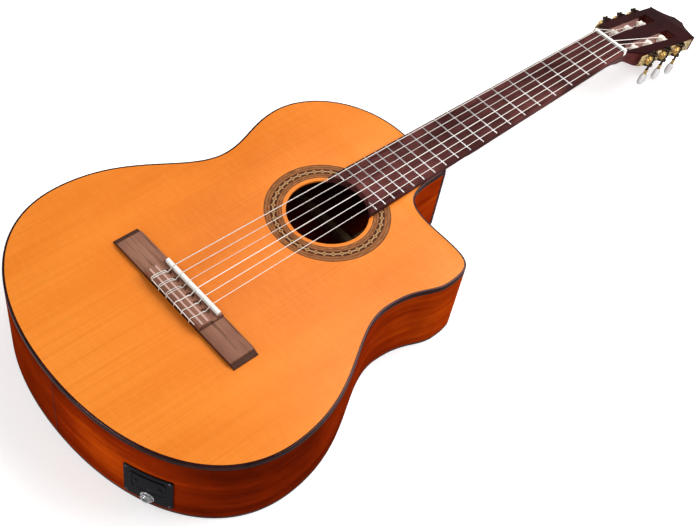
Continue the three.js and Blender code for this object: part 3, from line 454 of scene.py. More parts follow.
def piece(
    name, mesh, material, slot, replaces=(), body="guitar", place=Matrix.Identity(4), smooth=35, bevel=0.0,
):
    """A finished piece: its mesh moved from its own frame, in millimetres, to the row frame."""
    mesh.transform(TO_ROW @ place)
    mesh.materials.clear()
    mesh.materials.append(MATERIALS[material])
    obj = linked(name, mesh)
    tidy = bmesh.new()
    tidy.from_mesh(mesh)
    bmesh.ops.recalc_face_normals(tidy, faces=tidy.faces)
    tidy.to_mesh(mesh)
    tidy.free()
    if bevel:
        edge = obj.modifiers.new("edge", "BEVEL")
        edge.width = bevel * 0.001
        edge.segments = 3
        edge.limit_method = "ANGLE"
        edge.angle_limit = radians(35)
    mesh.shade_smooth()
    mesh.set_sharp_from_angle(angle=radians(smooth))
    if replaces:
        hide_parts(*replaces)
    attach(obj, body)


def mesh_of(verts, faces):
    mesh = bpy.data.meshes.new("piece")
    mesh.from_pydata([tuple(v) for v in verts], [], faces)
    return mesh


def loft(rings, closed=False):
    """A skin over rings with the same number of points, capped at its ends unless it closes on itself."""
    sides = len(rings[0])
    verts = [p for ring in rings for p in ring]
    count = len(rings)
    faces = []
    for r in range(count if closed else count - 1):
        low, high = r * sides, ((r + 1) % count) * sides
        faces += [(low + i, low + (i + 1) % sides, high + (i + 1) % sides, high + i) for i in range(sides)]
    if not closed:
        faces += [tuple(range(sides)), tuple(range((count - 1) * sides, count * sides))]
    return mesh_of(verts, faces)


def join(*meshes):
    """Several meshes as one mesh with separate shells."""
    whole = bmesh.new()
    for mesh in meshes:
        whole.from_mesh(mesh)
    out = bpy.data.meshes.new("piece")
    whole.to_mesh(out)
    whole.free()
    return out


def moved(mesh, matrix):
    mesh.transform(matrix)
    return mesh


def at(x, y, z):
    return Matrix.Translation((x, y, z))


def evaluated(obj):
    """A mesh of the object with its modifiers applied."""
    return bpy.data.meshes.new_from_object(obj.evaluated_get(bpy.context.evaluated_depsgraph_get()))


def boolean(mesh, *tools):
    """mesh cut by other closed meshes."""
    obj = linked("work", mesh)
    helpers = []
    for tool in tools:
        helper = linked("tool", tool)
        helpers.append(helper)
        modifier = obj.modifiers.new("cut", "BOOLEAN")
        modifier.operation = "DIFFERENCE"
        modifier.solver = "EXACT"
        modifier.object = helper
    bpy.context.view_layer.update()
    result = evaluated(obj)
    for helper in [obj, *helpers]:
        bpy.data.objects.remove(helper)
    return result


def plate(outlines, low, high, bevel=0.0, steps=2):
    """A flat plate with a rounded rim. The first outline is its edge, and the others are holes in it."""
    curve = bpy.data.curves.new("plate", "CURVE")
    curve.dimensions = "2D"
    curve.fill_mode = "BOTH"
    for outline in outlines:
        spline = curve.splines.new("POLY")
        spline.points.add(len(outline) - 1)
        for point, (x, y) in zip(spline.points, outline):
            point.co = (x, y, 0, 1)
        spline.use_cyclic_u = True
    curve.extrude = (high - low) / 2 - bevel
    curve.bevel_depth = bevel
    curve.bevel_resolution = steps
    curve.offset = -bevel
    obj = linked("plate", curve)
    mesh = evaluated(obj)
    bpy.data.objects.remove(obj)
    weld = bmesh.new()
    weld.from_mesh(mesh)
    bmesh.ops.remove_doubles(weld, verts=weld.verts, dist=1e-4)
    bmesh.ops.translate(weld, verts=weld.verts, vec=(0, 0, (low + high) / 2))
    weld.to_mesh(mesh)
    weld.free()
    return mesh


def block(x0, x1, y0, y1, z0, z1):
    corners = [(x0, y0), (x1, y0), (x1, y1), (x0, y1)]
    return loft([[(x, y, z) for x, y in corners] for z in (z0, z1)])


def circle(radius, count=64, x=0.0, y=0.0):
    turns = [tau * i / count for i in range(count)]
    return [(x + radius * cos(t), y + radius * sin(t)) for t in turns]


def lathe(profile, sides=32):
    """A solid of revolution about z through points of radius and height."""
    rings = [[(x, y, z) for x, y in circle(max(r, 1e-3), sides)] for r, z in profile]
    return loft(rings)


def tube(points, radius, sides=10):
    """A round bar along a line of points, kept from twisting."""
    points = [Vector(p) for p in points]
    rings = []
    side = None
    for i, p in enumerate(points):
        ahead = (points[min(i + 1, len(points) - 1)] - points[max(i - 1, 0)]).normalized()
        if side is None:
            side = ahead.orthogonal().normalized()
        side = (side - ahead * side.dot(ahead)).normalized()
        up = ahead.cross(side)
        turns = [tau * k / sides for k in range(sides)]
        rings.append([p + radius * (cos(t) * side + sin(t) * up) for t in turns])
    return loft(rings)


def smooth_line(points, per_step=8):
    """Points along a smooth curve through the given ones."""
    points = [Vector(p) for p in points]
    ends = [2 * points[0] - points[1], *points, 2 * points[-1] - points[-2]]
    line = []
    for i in range(1, len(ends) - 2):
        a, b = ends[i], ends[i + 1]
        out, into = (b - ends[i - 1]) / 6, (ends[i + 2] - a) / 6
        line += interpolate_bezier(a, a + out, b - into, b, per_step + 1)[:-1]
    return [*line, points[-1]]


def axes(x, y, z, origin=(0, 0, 0)):
    """The frame with those axes, at a point."""
    matrix = Matrix((x, y, z)).transposed().to_4x4()
    matrix.translation = origin
    return matrix


# ---- the body's outline

LOWER = Vector((191.2, -679.3))
WAIST = Vector((129.9, -508.3))
UPPER = Vector((149.6, -418))
HORN = Vector((146.6, -434.5))
HORN_TOP = Vector((89.8, -395.6))
SCOOP_END = Vector((32.3, -339))
PER_CURVE = 36


def run_of_curves(start, *curves):
    """Points along joined Bezier curves, each given as two handles and an end."""
    line = []
    for first, second, end in curves:
        line += interpolate_bezier(start, Vector(first), Vector(second), end, PER_CURVE + 1)[:-1]
        start = end
    return [*line, start]


def lower_curves():
    return [
        ((112, TAIL_Y), (LOWER.x, LOWER.y - 82), LOWER),
        ((LOWER.x, LOWER.y + 87), (WAIST.x, WAIST.y - 49.5), WAIST),
    ]


def bass_line():
    line = run_of_curves(
        Vector((0, TAIL_Y)),
        *lower_curves(),
        ((WAIST.x, WAIST.y + 30.6), (UPPER.x, UPPER.y - 37), UPPER),
        ((UPPER.x, UPPER.y + 48.5), (102, JOINT_Y + 4), Vector((31, JOINT_Y))),
    )
    return [Vector((-p.x, p.y)) for p in [*line, Vector((10, JOINT_Y))]]


def treble_line():
    line = run_of_curves(
        Vector((0, TAIL_Y)),
        *lower_curves(),
        ((WAIST.x, WAIST.y + 43), (HORN.x, HORN.y - 25), HORN),
        ((HORN.x, HORN.y + 38), (HORN_TOP.x + 46, HORN_TOP.y), HORN_TOP),
        ((HORN_TOP.x - 48, HORN_TOP.y), (SCOOP_END.x, SCOOP_END.y - 47), SCOOP_END),
    )
    return [*line, Vector((31.5, JOINT_Y)), Vector((10, JOINT_Y))]


BASS = bass_line()
TREBLE = treble_line()
ROUND = [*reversed(BASS), *TREBLE[1:]]  # the whole outline, from the neck round the tail to the neck


def sideways(line, distance, closed=False):
    """The line moved to its left, mitred at its corners."""
    count = len(line)
    out = []
    for i, p in enumerate(line):
        before = line[i - 1] if closed or i else p
        after = line[(i + 1) % count] if closed or i < count - 1 else p
        normals = [Vector((-d.y, d.x)).normalized() for d in (p - before, after - p) if d.length > 1e-6]
        first, last = normals[0], normals[-1]
        out.append(p + (first + last) * distance / (1 + first.dot(last)))
    return out


def sweep(line, profile):
    """A profile of inset and height points swept along part of the outline. A height may depend on y."""
    insets = {inset: sideways(line, inset) for inset, _ in profile}
    rings = []
    for i in range(len(line)):
        ring = []
        for inset, height in profile:
            p = insets[inset][i]
            ring.append((p.x, p.y, height(p.y) if callable(height) else height))
        rings.append(ring)
    return loft(rings)


def above_back(height):
    return lambda y: back_face(y, height)


def rounded(low, high, width, radius):
    """The profile of a strip, rounded at its outer top edge."""
    steps = [radians(a) for a in (0, 22.5, 45, 67.5, 90)]
    arc = [(radius * (1 - cos(a)), high - radius * (1 - sin(a))) for a in steps]
    return [(0.0, low), *arc, (width, high), (width, low)]


# ---- body

HOLE_R = 44.2
PLANE = [(p.x, p.y) for p in sideways(ROUND, 2.35, closed=True)]


def hole(radius, count=96):
    return circle(radius, count, 0, HOLE_Y)


def make_top():
    """The soundboard, with its rosette set in a channel round the hole."""
    channel = plate([hole(ROSETTE_OUTER + 0.05), hole(ROSETTE_INNER - 0.05)], -1, 1)
    top = boolean(plate([PLANE, hole(HOLE_R)], -2.5, 0, 0.25), channel)
    piece("soundboard_cedar", top, "cedar", "cedar_top", ["soundboard"], smooth=30)
    ring = plate([hole(ROSETTE_OUTER), hole(ROSETTE_INNER)], -0.95, 0.0)
    piece("rosette_ring", ring, "rosette", "rosette_inlay", ["rosette"], smooth=40)


def make_back():
    back = plate([PLANE], 0, 2.5, 0.2)
    for vertex in back.vertices:
        vertex.co.z += back_face(vertex.co.y)
    piece("back_plate", back, "back", "mahogany", ["back"], smooth=30)


def make_bindings():
    upper = sweep(ROUND, rounded(-6, 0, 2.3, 1.3))
    piece("binding_top_strip", upper, "binding", "binding", ["binding_top"], smooth=50)
    lower = [(0.0, above_back(4)), (0.0, above_back(1)), (0.3, above_back(0.3)), (1.0, back_face),
             (2.3, back_face), (2.3, above_back(4))]
    piece("binding_back_strip", sweep(ROUND, lower), "binding", "binding", ["binding_back"], smooth=50)


def make_ribs():
    """The two ribs, the treble one cut for the panel, and the strips over their ends: a dark seam at the
    tail, and at the heel a dark strip of painted shade where the heel's flank lies in shade.
    """
    ribs = [(0.0, above_back(4.05)), (0.0, -6.05), (2.0, -6.05), (2.0, above_back(4.05))]
    bass = sweep(list(reversed(BASS)), ribs)
    treble = sweep(TREBLE, ribs)
    window = moved(block(-22, 22, PANEL_Z - 22.5, PANEL_Z + 21, -20, 20), PANEL_FRAME)
    # Painted shade: the bass rib takes the darker copy of the mahogany.
    piece("rib_bass_side", bass, "mahogany_painted_shade", "mahogany", ["rib_bass"], smooth=50)
    treble = boolean(treble, window)
    # The treble rib carries painted light near the tail and painted shade past it.
    piece("rib_treble_side", treble, "mahogany", "mahogany", ["rib_treble"], smooth=50)
    seam = block(-0.55, 0.55, TAIL_Y - 0.06, TAIL_Y + 2, back_face(TAIL_Y, 4.1), -6.1)
    piece("tail_seam_strip", seam, "stained", "binding", smooth=50)
    # Painted shade: a dark strip at the treble rib's end by the heel, standing for the heel's flank in
    # shade.
    edge = block(30.6, 31.95, JOINT_Y - 3.2, JOINT_Y + 0.05, back_face(JOINT_Y, 4.1), -6.1)
    piece("heel_shade_strip", edge, "binding", "binding", smooth=50)


# ---- panel, drawer and jack

PANEL_X = 115.4
PANEL_Z = -65.5
PANEL_HALF = (25.5, 24.75)
PROUD = 1.7
DRAWER_Z = -61.5
DRAWER_HALF = (15.7, 10.2)
DRAWER_DEPTH = 54
DRAWER_WALL = 1.4
DRAWER_GAP = 0.3
JACK_Z = -82


def panel_frame():
    """x along the rib, y up and z straight out, on the treble rib near the tail."""
    handles = Vector((112, TAIL_Y)), Vector((LOWER.x, LOWER.y - 82))
    fine = interpolate_bezier(Vector((0, TAIL_Y)), *handles, LOWER, 401)
    index = next(i for i, p in enumerate(fine) if p.x >= PANEL_X)
    along = (fine[index + 1] - fine[index - 1]).normalized()
    x, y = along.to_3d(), Vector((0, 0, 1))
    return axes(x, y, x.cross(y), (fine[index].x, fine[index].y, 0))


PANEL_FRAME = panel_frame()
ON_DRAWER = {"body": "battery_drawer", "place": PANEL_FRAME}


def rib_bulge(x):
    """How far the rib's outer face stands out of the panel's frame, x from its middle."""
    inverse = PANEL_FRAME.inverted()
    near = [inverse @ Vector((p.x, p.y, 0)) for p in TREBLE[:PER_CURVE]]
    for a, b in zip(near, near[1:]):
        if a.x <= x <= b.x:
            return a.z + (b.z - a.z) * (x - a.x) / (b.x - a.x)
    return 0.0


def rounded_rectangle(half_x, half_y, radius, x=0.0, y=0.0, steps=6):
    points = []
    for cx, cy, start in ((1, 1, 0), (-1, 1, 90), (-1, -1, 180), (1, -1, 270)):
        for k in range(steps + 1):
            turn = radians(start + 90 * k / steps)
            middle = (x + cx * (half_x - radius), y + cy * (half_y - radius))
            points.append((middle[0] + radius * cos(turn), middle[1] + radius * sin(turn)))
    return points


def on_rib(mesh):
    """Bends a flat mesh in the panel's frame to follow the rib."""
    bent = bmesh.new()
    bent.from_mesh(mesh)
    for x in range(-24, 25, 3):
        geometry = [*bent.verts, *bent.edges, *bent.faces]
        bmesh.ops.bisect_plane(bent, geom=geometry, plane_co=(x, 0, 0), plane_no=(1, 0, 0))
    for v in bent.verts:
        v.co.z += rib_bulge(v.co.x)
    bent.to_mesh(mesh)
    bent.free()
    return mesh


def drawer_block(half_x, half_y, low, high):
    return block(-half_x, half_x, DRAWER_Z - half_y, DRAWER_Z + half_y, low, high)


def make_panel():
    """The panel's curved face, with its openings, and the housing behind it."""
    w, h = DRAWER_HALF[0] + DRAWER_GAP, DRAWER_HALF[1] + DRAWER_GAP
    opening = rounded_rectangle(w, h, 0.8, 0, DRAWER_Z)
    jack_hole = circle(5, 32, 0, JACK_Z)
    rim = rounded_rectangle(*PANEL_HALF, 2.6, 0, PANEL_Z)
    face = on_rib(plate([rim, opening, jack_hole], 0.1, PROUD, 0.5, 3))
    inside = drawer_block(w, h, -DRAWER_DEPTH - 1.5, 9)
    walls = boolean(drawer_block(w + DRAWER_WALL, h + DRAWER_WALL, -DRAWER_DEPTH - 3, -0.6), inside)
    surround = rounded_rectangle(w + 2.6, h + 1.8, 1.6, 0, DRAWER_Z)
    raised = on_rib(plate([surround, opening], PROUD - 0.5, PROUD + 0.55, 0.25))
    ledge = on_rib(block(-w - 1, w + 1, DRAWER_Z + h + 2.2, DRAWER_Z + h + 3.2, PROUD - 0.4, PROUD + 0.7))
    panel = join(face, walls, raised, ledge)
    piece("panel_face", panel, "black", "black_plastic", ["battery_panel"], place=PANEL_FRAME)


def make_panel_screws():
    for k, (sx, sy) in enumerate(((-1, -1), (1, -1), (1, 1), (-1, 1))):
        x, y = sx * (PANEL_HALF[0] - 3.3), PANEL_Z + sy * (PANEL_HALF[1] - 3.3)
        head = lathe([(0, 0), (1.75, 0), (1.75, 0.25), (1.3, 0.7), (0, 0.85)], 20)
        cross = [block(-1.1, 1.1, -0.2, 0.2, 0.45, 2), block(-0.2, 0.2, -1.1, 1.1, 0.45, 2)]
        place = PANEL_FRAME @ at(x, y, rib_bulge(x) + PROUD - 0.15) @ Matrix.Rotation(0.5 + k, 4, "Z")
        piece(f"panel_screw_{k + 1}", boolean(head, *cross), "dark_steel", "chrome", place=place, smooth=40)


def make_drawer():
    tray = boolean(
        drawer_block(DRAWER_HALF[0] - 0.1, DRAWER_HALF[1] - 0.1, -DRAWER_DEPTH, -1.5),
        block(-14.3, 14.3, DRAWER_Z - 8.8, DRAWER_Z + 12, DRAWER_WALL - DRAWER_DEPTH, -5),
    )
    front = on_rib(plate([rounded_rectangle(*DRAWER_HALF, 0.8, 0, DRAWER_Z)], -1.8, PROUD + 0.3, 0.3))
    edges = [rounded_rectangle(1.6, 3.4, 1.0, x, DRAWER_Z) for x in (-12.4, 12.4)]
    grips = [on_rib(plate([edge], PROUD, PROUD + 0.85, 0.25)) for edge in edges]
    drawer = join(tray, front, *grips)
    piece("drawer_tray", drawer, "black", "black_plastic", ["battery_drawer"], **ON_DRAWER)


def make_battery():
    """A block battery with a round and a six-sided contact."""
    case = plate([rounded_rectangle(12.9, 8.4, 1.5, 0, DRAWER_Z - 0.2)], -51.8, -7.6, 0.5)
    round_end = lathe([(0, -7.8), (3.2, -7.8), (3.2, -6.0), (1.6, -5.7), (0, -5.7)], 24)
    six_sided = lathe([(0, -7.8), (2.6, -7.8), (2.6, -6.2), (0, -6.2)], 6)
    cell = join(case, moved(round_end, at(-6, DRAWER_Z, 0)), moved(six_sided, at(6, DRAWER_Z, 0)))
    piece("battery_cell", cell, "cell", "battery_case", ["battery"], smooth=40, **ON_DRAWER)


def make_jack():
    jack_place = PANEL_FRAME @ at(0, JACK_Z, 0)
    flange = PROUD + 0.1
    collar = [(4.7, 0), (7.4, 0), (7.4, 0.5), (6.9, 0.9), (4.7, 1)]
    mouth = [(4.7, 4.1), (4.3, 4.6), (3.6, 4.6), (3.3, 4.2)]
    profile = [(3.3, -28), (4.7, -28), *((r, flange + z) for r, z in collar + mouth)]
    ring = loft([[(x, y, z) for x, y in circle(r, 40)] for r, z in profile], closed=True)
    nut = plate([circle(6.6, 6), circle(4.75, 32)], flange + 1.0, flange + 3.0, 0.25)
    piece("jack_socket", join(ring, nut), "chrome", "chrome", ["output_jack"], place=jack_place)


make_top()
make_back()
make_bindings()
make_ribs()
make_panel()
make_panel_screws()
make_drawer()
make_battery()
make_jack()

# ---- neck, fingerboard and frets

NUT_WIDTH = 50
NUT_THICKNESS = 5
WIDTH_AT_JOINT = 61.7
BOARD_TOP = 6
BOARD_END_R = HOLE_R + 0.3
FRETS = 19
FRET_INSET = 0.25
HEAD_ANGLE = radians(14)
HEAD_THICKNESS = 20
HEAD_HALF = 37
VENEER = 2
HEAD = axes(
    Vector((1, 0, 0)),
    Vector((0, cos(HEAD_ANGLE), -sin(HEAD_ANGLE))),
    Vector((0, sin(HEAD_ANGLE), cos(HEAD_ANGLE))),
    (0, NUT_THICKNESS, 3),
)
HEEL = JOINT_Y + 0.2


def on_head(x, u, w):
    """A point from its distances across the head, along its face and out of it."""
    return HEAD @ Vector((x, u, w))


# Down the neck: y, depth, half-width at the foot, squareness and how hollow the flanks are.
NECK_SECTIONS = [
    (HEEL, 93.4, 12, 9, 2.5),
    (HEEL + 14, 93.4, 9, 6, 4.5),
    (HEEL + 17, 82, 9, 5, 4.5),
    (HEEL + 20, 66, 9, 4, 4),
    (HEEL + 25, 50, 10, 3.2, 3),
    (HEEL + 32, 36, 13, 2.7, 1.8),
    (HEEL + 42, 26, 20, 2.4, 1),
    (HEEL + 56, 20, 25, 2.3, 1),
    (HEEL + 75, 17.5, 26, 2.2, 1),
    (-130, 16.5, 25, 2.2, 1),
    (-30, 15.5, 22, 2.2, 1),
    (-14, 15.6, 23, 3, 1),
    (-4, 15.8, 24, 5, 1),
    (NUT_THICKNESS + 0.4, 15, 24, 8, 1),
]


def board_half_width(y):
    return (NUT_WIDTH - (WIDTH_AT_JOINT - NUT_WIDTH) / (SCALE_LENGTH / 2) * y) / 2


def fret_y(n):
    return -SCALE_LENGTH * (1 - 2 ** (-n / 12))


def between(a, b, t):
    return tuple(p + (q - p) * t for p, q in zip(a, b))


def neck_section(y, depth, foot, squareness, flare):
    """A cross-section, flat on top, whose flanks run in to the half-width foot at its depth."""
    top = board_half_width(y)
    right = []
    for k in range(25):
        s = sin(pi / 2 * k / 24)
        spread = foot + (top - foot) * (1 - s) ** flare
        right.append(Vector((spread * max(0.0, 1 - s**squareness) ** (1 / squareness), y, -depth * s)))
    left = [Vector((-p.x, p.y, p.z)) for p in reversed(right[:-1])]
    return right + left


def head_outline():
    """The head's edge as distances across it and along its face."""
    right = [Vector((24.2, 0.9)), Vector((24.6, 5))]

    def curve(first, second, end, count):
        right.extend(interpolate_bezier(right[-1], Vector(first), Vector(second), Vector(end), count)[1:])

    curve((25.5, 11), (31, 20), (35, 30), 12)
    curve((36.3, 33.3), (HEAD_HALF, 37.3), (HEAD_HALF, 42), 6)
    right += [Vector((HEAD_HALF, 151)), Vector((38, 157))]
    curve((24.3, 159.7), (14, 165), (7, 173), 16)
    return [(p.x, p.y) for p in right] + [(-p.x, p.y) for p in reversed(right)]


def head_prism(points, half=40):
    """A solid across the head, drawn in side view as distances along its face and out of it."""
    return loft([[on_head(x, u, w) for u, w in points] for x in (-half, half)])


# Where a slot starts and ends 2 mm over the head's face, and how far each ramp runs in per mm of depth.
SLOT_START, SLOT_END = 10.6, 127
START_RAMP, END_RAMP = 0.408, 0.417
SLOT_INNER = 10.5
RAW_FROM, RAW_TO = 22, 109  # the part of the walls that is raw wood
SKIN = 0.3
SKIN_LEVELS = (-VENEER - 0.1, -19.8)


def slot_outer(u):
    """How far from the centre line a slot's outer wall is."""
    return 22 + 5 * (u - 12) / 114


def slot_end(end, w):
    """How far along the head a slot's ramped end is, at a level over the face. end is 0 or 1."""
    return SLOT_END - END_RAMP * (2 - w) if end else SLOT_START + START_RAMP * (2 - w)


def head_slot(side):
    """One of the two long slots, with its ends ramped for the strings."""
    rings = []
    for w, start, end in ((2, SLOT_START, SLOT_END), (-22, 20.4, 117)):
        corners = [(SLOT_INNER, start), (slot_outer(start), start), (27, end), (SLOT_INNER, end)]
        rings.append([on_head(side * x, u, w) for x, u in corners])
    return loft(rings)


def slot_walls(side, start, end):
    """A skin over part of a slot's two long walls, under the veneer."""
    walls = []
    for inner, inward in ((True, SKIN), (False, -SKIN)):
        rings = []
        for w in SKIN_LEVELS:
            ring = []
            for u, depth in ((start, 0), (end, 0), (end, inward), (start, inward)):
                u = min(max(u, slot_end(0, w) + SKIN), slot_end(1, w) - SKIN)
                x = (SLOT_INNER if inner else slot_outer(u)) + depth
                ring.append(on_head(side * x, u, w))
            rings.append(ring)
        walls.append(loft(rings))
    return walls


def slot_ramps(side):
    """A skin over a slot's two ramped ends."""
    ramps = []
    inner = SLOT_INNER + SKIN
    for end, inward, outer in ((0, SKIN, 21.8), (1, -SKIN, 26.4)):
        rings = []
        for w in SKIN_LEVELS:
            u = slot_end(end, w)
            corners = [(inner, u), (outer, u), (outer, u + inward), (inner, u + inward)]
            rings.append([on_head(side * x, v, w) for x, v in corners])
        ramps.append(loft(rings))
    return ramps


def make_neck():
    """The neck, its block inside the body, the slotted head and the head's veneer."""
    sections = []
    for a, b in zip(NECK_SECTIONS, NECK_SECTIONS[1:]):
        steps = 8 if b[0] - a[0] > 60 else 3
        sections += [between(a, b, k / steps) for k in range(steps)]
    bar = loft([neck_section(*s) for s in [*sections, NECK_SECTIONS[-1]]])
    head = moved(plate([head_outline()], -HEAD_THICKNESS, -VENEER - 0.02, 0.5), HEAD)
    under = head_prism([(-4, -14), (4, -14.6), (12, -16.6), (20, -19), (28, -20.5), (-4, -24)])
    head = boolean(head, under, head_slot(-1), head_slot(1))
    inner = block(-27.5, 27.5, -366, JOINT_Y - 2.5, -94, -2.6)
    tongue = block(-9.7, 9.7, JOINT_Y - 6, JOINT_Y + 3, -86, -6.5)
    piece("neck_and_head", join(bar, head, inner, tongue), "neck", "mahogany", ["neck"])
    for side, label in ((1, "treble"), (-1, "bass")):
        piece(f"slot_walls_{label}", join(*slot_walls(side, RAW_FROM, RAW_TO)), "raw_wood", "mahogany")
        ends = join(*slot_walls(side, RAW_TO + 0.1, SLOT_END), *slot_ramps(side))
        piece(f"slot_ends_{label}", ends, "stained", "mahogany")
    face = moved(plate([head_outline()], -VENEER, 0, 0.3), HEAD)
    face = boolean(face, head_slot(-1), head_slot(1))
    piece("head_veneer_face", face, "veneer", "head_veneer", ["headstock_veneer"])


def make_board():
    """The board, with its end cut round the sound hole. reach is where its sides meet that arc."""
    tenths = (y / 10 for y in range(-4300, -4700, -1))
    reach = next(y for y in tenths if hypot(board_half_width(y), y - HOLE_Y) <= BOARD_END_R)
    start = atan2(reach - HOLE_Y, board_half_width(reach))
    turns = [start + (pi - 2 * start) * k / 40 for k in range(41)]
    end = [(BOARD_END_R * cos(t), HOLE_Y + BOARD_END_R * sin(t)) for t in turns]
    outline = [(-board_half_width(0), -0.1), *reversed(end), (board_half_width(0), -0.1)]
    board = plate([outline], 0.1, BOARD_TOP, 0.35)
    lip = [((HOLE_R - 0.1) * cos(t), HOLE_Y + (HOLE_R - 0.1) * sin(t)) for t in turns]
    lip += [((HOLE_R + 0.8) * cos(t), HOLE_Y + (HOLE_R + 0.8) * sin(t)) for t in reversed(turns)]
    board = join(board, plate([lip], -2.55, 0.3, 0.05))
    piece("fingerboard_rosewood", board, "rosewood", "rosewood", ["fingerboard"])


def fret_bar(n, x0, x1):
    """A fret's low crown, with its ends rounded over."""
    half, high = 0.78, 1.0
    arc = [pi * k / 10 for k in range(11)]
    rings = []
    places = ((x0, 0.3), (x0 + 0.25, 0.75), (x0 + 0.8, 1), (x1 - 0.8, 1), (x1 - 0.25, 0.75), (x1, 0.3))
    for x, size in places:
        rise = size * (high + 0.1)
        rings.append([(x, fret_y(n) + half * cos(t), BOARD_TOP - 0.1 + rise * sin(t)) for t in arc])
    return loft(rings)


def make_fret(label, *bar):
    piece(f"fret_crown_{label}", fret_bar(*bar), "fret", "fret_wire", [f"fret_{label}"], smooth=40)


def make_frets():
    """The last fret is in two pieces, either side of the sound hole."""
    for n in range(1, FRETS):
        half = board_half_width(fret_y(n)) - FRET_INSET
        make_fret(f"{n:02d}", n, -half, half)
    half = board_half_width(fret_y(FRETS)) - FRET_INSET
    inner = sqrt(BOARD_END_R**2 - (fret_y(FRETS) - HOLE_Y) ** 2) + 0.6
    make_fret("19_bass", FRETS, -half, -inner)
    make_fret("19_treble", FRETS, inner, half)


# ---- strings, nut, saddle and bridge

# The CAD node's name, the radius, the roller's number and how far out along it the string lands.
STRINGS = [
    ("string_1_high_e", 0.36, 1, 19),
    ("string_2_b", 0.41, 2, 18.2),
    ("string_3_g", 0.51, 3, 17.5),
    ("string_4_d", 0.37, 3, 17.5),
    ("string_5_a", 0.45, 2, 18.2),
    ("string_6_low_e", 0.54, 1, 19),
]
SPREAD_NUT = 43.4
SPREAD_SADDLE = 59.4
HEIGHT_NUT = 8.5
HEIGHT_SADDLE = 12
ROLLER_PLACES = [40, 75, 110]
ROLLER_LEVEL = -9
ROLLER_R = 5
BRIDGE_Y = -661.4
BRIDGE_HALF = 96
BRIDGE_DEPTH = 29.5
BLOCK_HALF = 43
SADDLE_HALF = 41
SADDLE_HALF_THICK = 2.1
REAR = BRIDGE_Y - BRIDGE_DEPTH / 2
FRONT = BRIDGE_Y + BRIDGE_DEPTH / 2
TIE_TOP = 9.4
TIE_HOLE = 6.6


def string_x(index, spread):
    return spread / 2 - spread * index / 5


def string_kind(index):
    """The material's key, which also starts the name of its slot."""
    return "nylon" if index < 3 else "wound"


def across(profile, half):
    """A solid across the guitar from a profile of y and z."""
    return loft([[(x, y, z) for y, z in profile] for x in (-half, half)])


def make_nut_and_saddle():
    profile = [(0, 0.1), (5, 0.1), (5, 7.2), (4.6, 7.9), (3.8, 8.6), (0.8, 9), (0.2, 8.8), (0, 8.4)]
    nut = across(profile, NUT_WIDTH / 2)
    cuts = []
    for i, (_, radius, _, _) in enumerate(STRINGS):
        x = string_x(i, SPREAD_NUT)
        cuts.append(block(x - radius - 0.1, x + radius + 0.1, -1, 6, HEIGHT_NUT - 1.6 * radius, 12))
    piece("nut_bone", boolean(nut, *cuts), "bone", "bone", ["nut"], bevel=0.2)
    half, top, foot = SADDLE_HALF_THICK, HEIGHT_SADDLE - 0.7, 4.7
    arc = [pi * k / 8 for k in range(9)]
    crown = [(SADDLE_Y + half * cos(t), top - 0.9 + 0.9 * sin(t)) for t in arc]
    saddle = across([(SADDLE_Y - half, foot), (SADDLE_Y + half, foot), *crown], SADDLE_HALF)
    piece("saddle_bone", saddle, "bone", "bone", ["saddle"], smooth=40, bevel=0.3)


def bridge_wings():
    """Both wings and the low middle between them, scooped down to their tips."""
    rings = []
    scoop = [(BRIDGE_HALF - inward, high) for inward, high in ((0, 1.5), (2, 1.8), (4.5, 2.6), (7, 4.6))]
    for x, high in [(-x, high) for x, high in scoop] + scoop[::-1]:
        edge = [(FRONT, high - 0.5), (FRONT - 0.6, high), (REAR + 0.6, high), (REAR, high - 0.5)]
        rings.append([(x, y, z) for y, z in [(REAR, 0.1), (FRONT, 0.1), *edge]])
    beside = (-BLOCK_HALF - 0.4, BLOCK_HALF + 0.4)
    grooves = [block(x - 0.5, x + 0.5, REAR - 1, FRONT + 1, 3.4, 6) for x in beside]
    return boolean(loft(rings), *grooves)


def bridge_centre():
    """The ledge for the saddle, and the tie block with a scallop and a hole for each string."""
    ledge = [(0, 0.1), (0, 6.4), (-0.6, 7.5), (-1.6, 8), (-5.6, 8), (-6.2, 6.4)]
    tie_block = [(16.6, 6.2), (15.8, 8.8), (15.2, TIE_TOP), (1.6, TIE_TOP), (0.6, 9), (0, 8)]
    profile = [(REAR, 0.1), *((FRONT + y, z) for y, z in ledge), *((REAR + y, z) for y, z in tie_block)]
    centre = across(profile, BLOCK_HALF)
    w, t = SADDLE_HALF + 0.1, SADDLE_HALF_THICK + 0.1
    slot = block(-w, w, SADDLE_Y - t, SADDLE_Y + t, 4.6, 12)
    hollows, holes = [], []
    for i in range(6):
        x = string_x(i, SPREAD_SADDLE)
        hollow = lathe([(0, -5.2), (3.5, -5), (4.1, -4), (4.2, -0.5), (4.2, 5)], 28)
        hollows.append(moved(hollow, at(x, REAR + 17.3, 6.4)))
        drill = lathe([(0, -2), (1, -2), (1, 24), (0, 24)], 16)
        holes.append(moved(drill, at(x, REAR, TIE_HOLE) @ Matrix.Rotation(-pi / 2, 4, "X")))
    return boolean(centre, slot, *hollows, *holes)


def make_bridge():
    bridge = join(bridge_wings(), bridge_centre())
    piece("bridge_rosewood", bridge, "bridge", "bridge_wood", ["bridge"], bevel=0.25)
    for label, y in (("front", REAR + 11.6), ("rear", REAR + 5)):
        half = BLOCK_HALF - 1.5
        edge = [(-half, y - 1), (half, y - 1), (half, y + 1), (-half, y + 1)]
        strip = plate([edge], TIE_TOP - 0.6, TIE_TOP + 0.12, 0.05)
        piece(f"tie_block_strip_{label}", strip, "cream", "bone", smooth=40)


